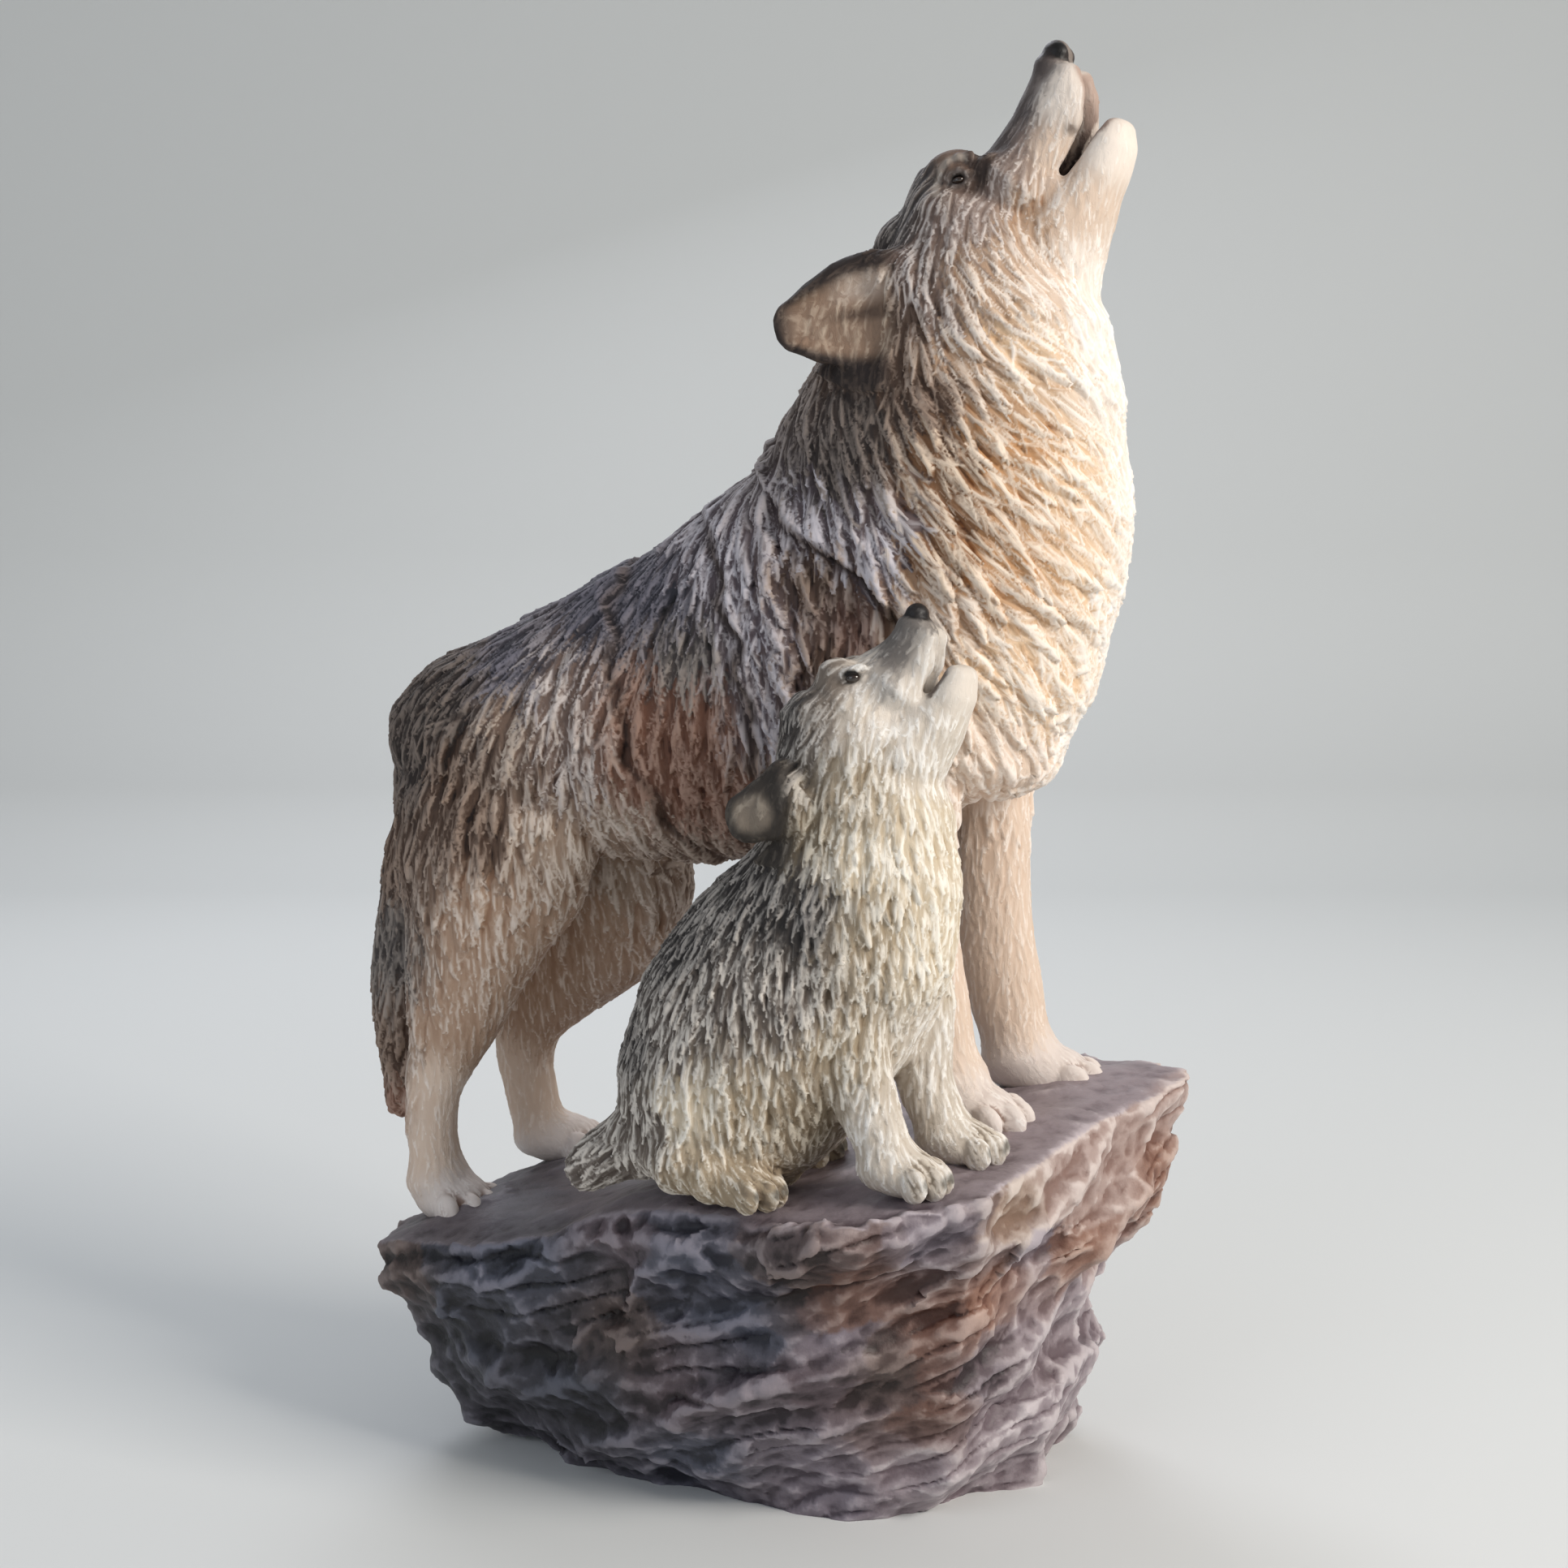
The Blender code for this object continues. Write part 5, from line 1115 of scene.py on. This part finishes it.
# The rock's paint
# Blue-black and plum washes, rust rubbed into the beds, and grey-lilac dry brushed over the ridges;
# the end that the adult faces is rose and sand. Each break shifts the mix a little.
#   across and up in millimetres, paint
ROCK_PLACES = (
    # The ink and indigo at the left end are darker than the paint itself, partly painted shade, as the
    # light falls from the right.
    (-108, 80, "indigo"), (-118, 62, "umber"), (-95, 48, "ink"), (-75, 75, "indigo"),
    (-52, 57, "umber"), (-60, 36, "ink"), (-88, 66, "slate_blue"), (-30, 82, "slate_blue"),
    (-50, 88, "plum"), (-12, 66, "slate_blue"), (-34, 42, "plum"), (-27, 18, "slate_blue"),
    (26, 81, "rust"), (4, 76, "umber"), (12, 62, "lilac"), (8, 45, "plum"), (10, 20, "lilac"),
    (36, 61, "rust"), (24, 50, "umber"), (44, 42, "rust"), (58, 46, "plum"), (42, 20, "pale"),
    (56, 70, "ember"), (42, 94, "lilac"), (64, 97, "sand"), (84, 108, "rose"), (78, 92, "rose"),
    (100, 119, "rose"), (120, 112, "rose"), (112, 92, "ember"), (94, 96, "rose"), (86, 78, "ember"),
    (70, 82, "lilac"), (72, 54, "pale"), (90, 56, "pale"), (92, 30, "pale"), (70, 26, "pale"),
    (56, 8, "pale"), (20, 4, "lilac"),
)
ROCK_PAINTS = {
    "ink": ("#2b2b33", "#5f616d"), "indigo": ("#3a3c47", "#7b7c8a"), "slate_blue": ("#4d4f5c", "#928f9b"),
    "plum": ("#5a4d52", "#9a9096"), "umber": ("#4b3d39", "#85756f"), "rust": ("#6a4d43", "#a08a81"),
    "ember": ("#8a6656", "#c2a89b"), "lilac": ("#7a717a", "#b6adb4"), "pale": ("#978b90", "#d2c9cb"),
    "sand": ("#ab9687", "#ddd1c6"), "rose": ("#ad9891", "#dfd2cc"), "slab": ("#7f757a", "#b2a8ad"),
}
own_place = 0.25 * points[own_break] + 0.2 * points[own_chips[0]] + 0.55 * points
colours = coat_paint(ROCK_PLACES, ROCK_PAINTS, own_place, 1.7)
# The slab's top is darker towards the left, partly its own darker paint and partly painted shade, as the
# light falls from the right.
shade = 1 - 0.45 * ramp(-points[:, 0], -0.02, 0.11)
slab_paint_and_shade = np.concatenate([linear(code) for code in ROCK_PAINTS["slab"]]) * (1.25 * shade)[:, None]
colours += (slab_paint_and_shade - colours) * (flat_top * (0.9 - 0.4 * ramp(split, 0, 0.3)))[:, None]
shown = np.clip(standing_out(rock_form, 3.5) / 0.55, -1, 1)
coarse = np.clip(standing_out(rock_form, 9.0) / 1.8, -1, 1)
tone = scattered(np.round(points[own_chips[0]] * 4000), 8) * 2 - 1
store_paint(rock_form, colours, 0.46 + 0.3 * shown + 0.16 * coarse, tone, points, 0 * tone)
rock_form = thinned(rock_form, ROCK_TRIANGLES)
bm = bmesh.new()
bm.from_mesh(rock_form)
cut_flat(bm, (0, 0, 0), (0, 0, -1))
bm.to_mesh(rock_form)
bm.free()
rock_form.shade_smooth()
rock_form.set_sharp_from_angle(angle=math.radians(70))


def painted_stone(name):
    """Acrylic on the cast rock: washes in the breaks, pale dry brush on the ridges, a dull sheen.

    The brush catches on a grain of about 2.4 mm, and the washes cloud over about 17 mm.
    """
    material = bpy.data.materials.new(name)
    material.use_nodes = True
    tree = material.node_tree
    shader = tree.nodes["Principled BSDF"]
    place = node(tree, "ShaderNodeTexCoord").outputs["Object"]
    paint, brush = [node(tree, "ShaderNodeAttribute", attribute_name=layer).outputs["Color"]
                    for layer in ("paint", "brush")]
    ridge, tone = [node(tree, "ShaderNodeAttribute", attribute_name=layer).outputs["Fac"]
                   for layer in ("ridge", "tone")]
    grain = node(tree, "ShaderNodeTexNoise",
                 {"Vector": place, "Scale": 420.0, "Detail": 4.0, "Roughness": 0.65}).outputs["Fac"]
    cloud = node(tree, "ShaderNodeTexNoise", {"Vector": place, "Scale": 60.0, "Detail": 4.0})
    cloud = cloud.outputs["Fac"]
    wash = node(tree, "ShaderNodeGamma", {"Color": paint, "Gamma": 1.6}).outputs[0]
    edge = ridge
    for pattern, amount in ((grain, 0.34), (tone, 0.06), (cloud, 0.08)):
        edge = node(tree, "ShaderNodeMath", {0: pattern, 1: amount, 2: edge},
                    operation="MULTIPLY_ADD").outputs[0]
    clear = node(tree, "ShaderNodeMapRange", {"Value": edge, "From Min": 0.3, "From Max": 0.72},
                 interpolation_type="SMOOTHSTEP").outputs[0]
    base = node(tree, "ShaderNodeMix", {"Factor": clear, 6: wash, 7: paint}, data_type="RGBA").outputs[2]
    pale = node(tree, "ShaderNodeMapRange",
                {"Value": edge, "From Min": 0.7, "From Max": 1.12, "To Max": 0.72},
                interpolation_type="SMOOTHSTEP").outputs[0]
    colour = node(tree, "ShaderNodeMix", {"Factor": pale, 6: base, 7: brush}, data_type="RGBA")
    tree.links.new(colour.outputs[2], shader.inputs["Base Color"])
    rough = node(tree, "ShaderNodeMapRange", {"Value": cloud, "To Min": 0.4, "To Max": 0.62})
    tree.links.new(rough.outputs[0], shader.inputs["Roughness"])
    shader.inputs["Specular IOR Level"].default_value = 0.4
    bump = node(tree, "ShaderNodeBump", {"Height": grain, "Strength": 0.45, "Distance": 0.0007})
    tree.links.new(bump.outputs[0], shader.inputs["Normal"])
    return material


place_piece(rock_form, "rock_base", painted_stone("matt_acrylic_on_cast_rock"))

# Floor, light and camera
# A plain pale floor and backdrop, soft light that is stronger from the right, and the photograph's
# viewing angle from just above the middle of the statue.
BACKDROP_PROFILE = ((-3, -2, 0), (-3, 1.2, 0), (-3, 1.5, 0.06), (-3, 1.62, 0.3), (-3, 1.66, 3))


def backdrop():
    """A sheet of pale paper that lies under the statue and rises behind it, in metres."""
    bm = bmesh.new()
    profile = [bm.verts.new(Vector(point)) for point in BACKDROP_PROFILE]
    edges = [bm.edges.new(pair) for pair in zip(profile, profile[1:])]
    swept = bmesh.ops.extrude_edge_only(bm, edges=edges)["geom"]
    swept = [vert for vert in swept if isinstance(vert, bmesh.types.BMVert)]
    bmesh.ops.translate(bm, vec=(6, 0, 0), verts=swept)
    bmesh.ops.recalc_face_normals(bm, faces=bm.faces)
    mesh = bpy.data.meshes.new("floor")
    bm.to_mesh(mesh)
    bm.free()
    mesh.shade_smooth()
    floor = bpy.data.objects.new("floor", mesh)
    bpy.context.scene.collection.objects.link(floor)
    material = bpy.data.materials.new("pale_studio_paper")
    material.use_nodes = True
    shader = material.node_tree.nodes["Principled BSDF"]
    shader.inputs["Base Color"].default_value = (*linear("#dcdedd"), 1)
    shader.inputs["Roughness"].default_value = 0.9
    mesh.materials.append(material)


def soft_light(name, place, aim, size, watts, colour):
    lamp = bpy.data.lights.new(name, "AREA")
    lamp.energy = watts
    lamp.size = size
    lamp.color = linear(colour)
    item = bpy.data.objects.new(name, lamp)
    item.location = place
    item.rotation_euler = (Vector(aim) - Vector(place)).to_track_quat("-Z", "Y").to_euler()
    bpy.context.scene.collection.objects.link(item)


backdrop()
soft_light("key", (1.3, -0.9, 1.1), (0, 0, 0.2), 0.7, 27, "#fff8f0")
soft_light("fill", (-1.2, -1.3, 0.9), (0, 0, 0.2), 1.2, 6, "#e8f0ff")
soft_light("rim", (-0.3, 1.1, 1.2), (0, 0, 0.25), 0.8, 8, "#f4f6ff")
world = bpy.data.worlds.new("studio")
world.use_nodes = True
world.node_tree.nodes["Background"].inputs[0].default_value = (*linear("#e6ebef"), 1)
world.node_tree.nodes["Background"].inputs[1].default_value = 0.38
bpy.context.scene.world = world

CAMERA_PLACE = (0, -0.6807, 0.2785)
CAMERA_TILT = math.radians(84.37)
camera = bpy.data.cameras.new("camera")
camera.lens = 50.3
camera.sensor_width = 36
camera.clip_start = 0.01
viewer = bpy.data.objects.new("camera", camera)
viewer.location = CAMERA_PLACE
viewer.rotation_euler = (CAMERA_TILT, 0, 0)
bpy.context.scene.collection.objects.link(viewer)
bpy.context.scene.camera = viewer
bpy.context.scene.view_settings.view_transform = "Standard"
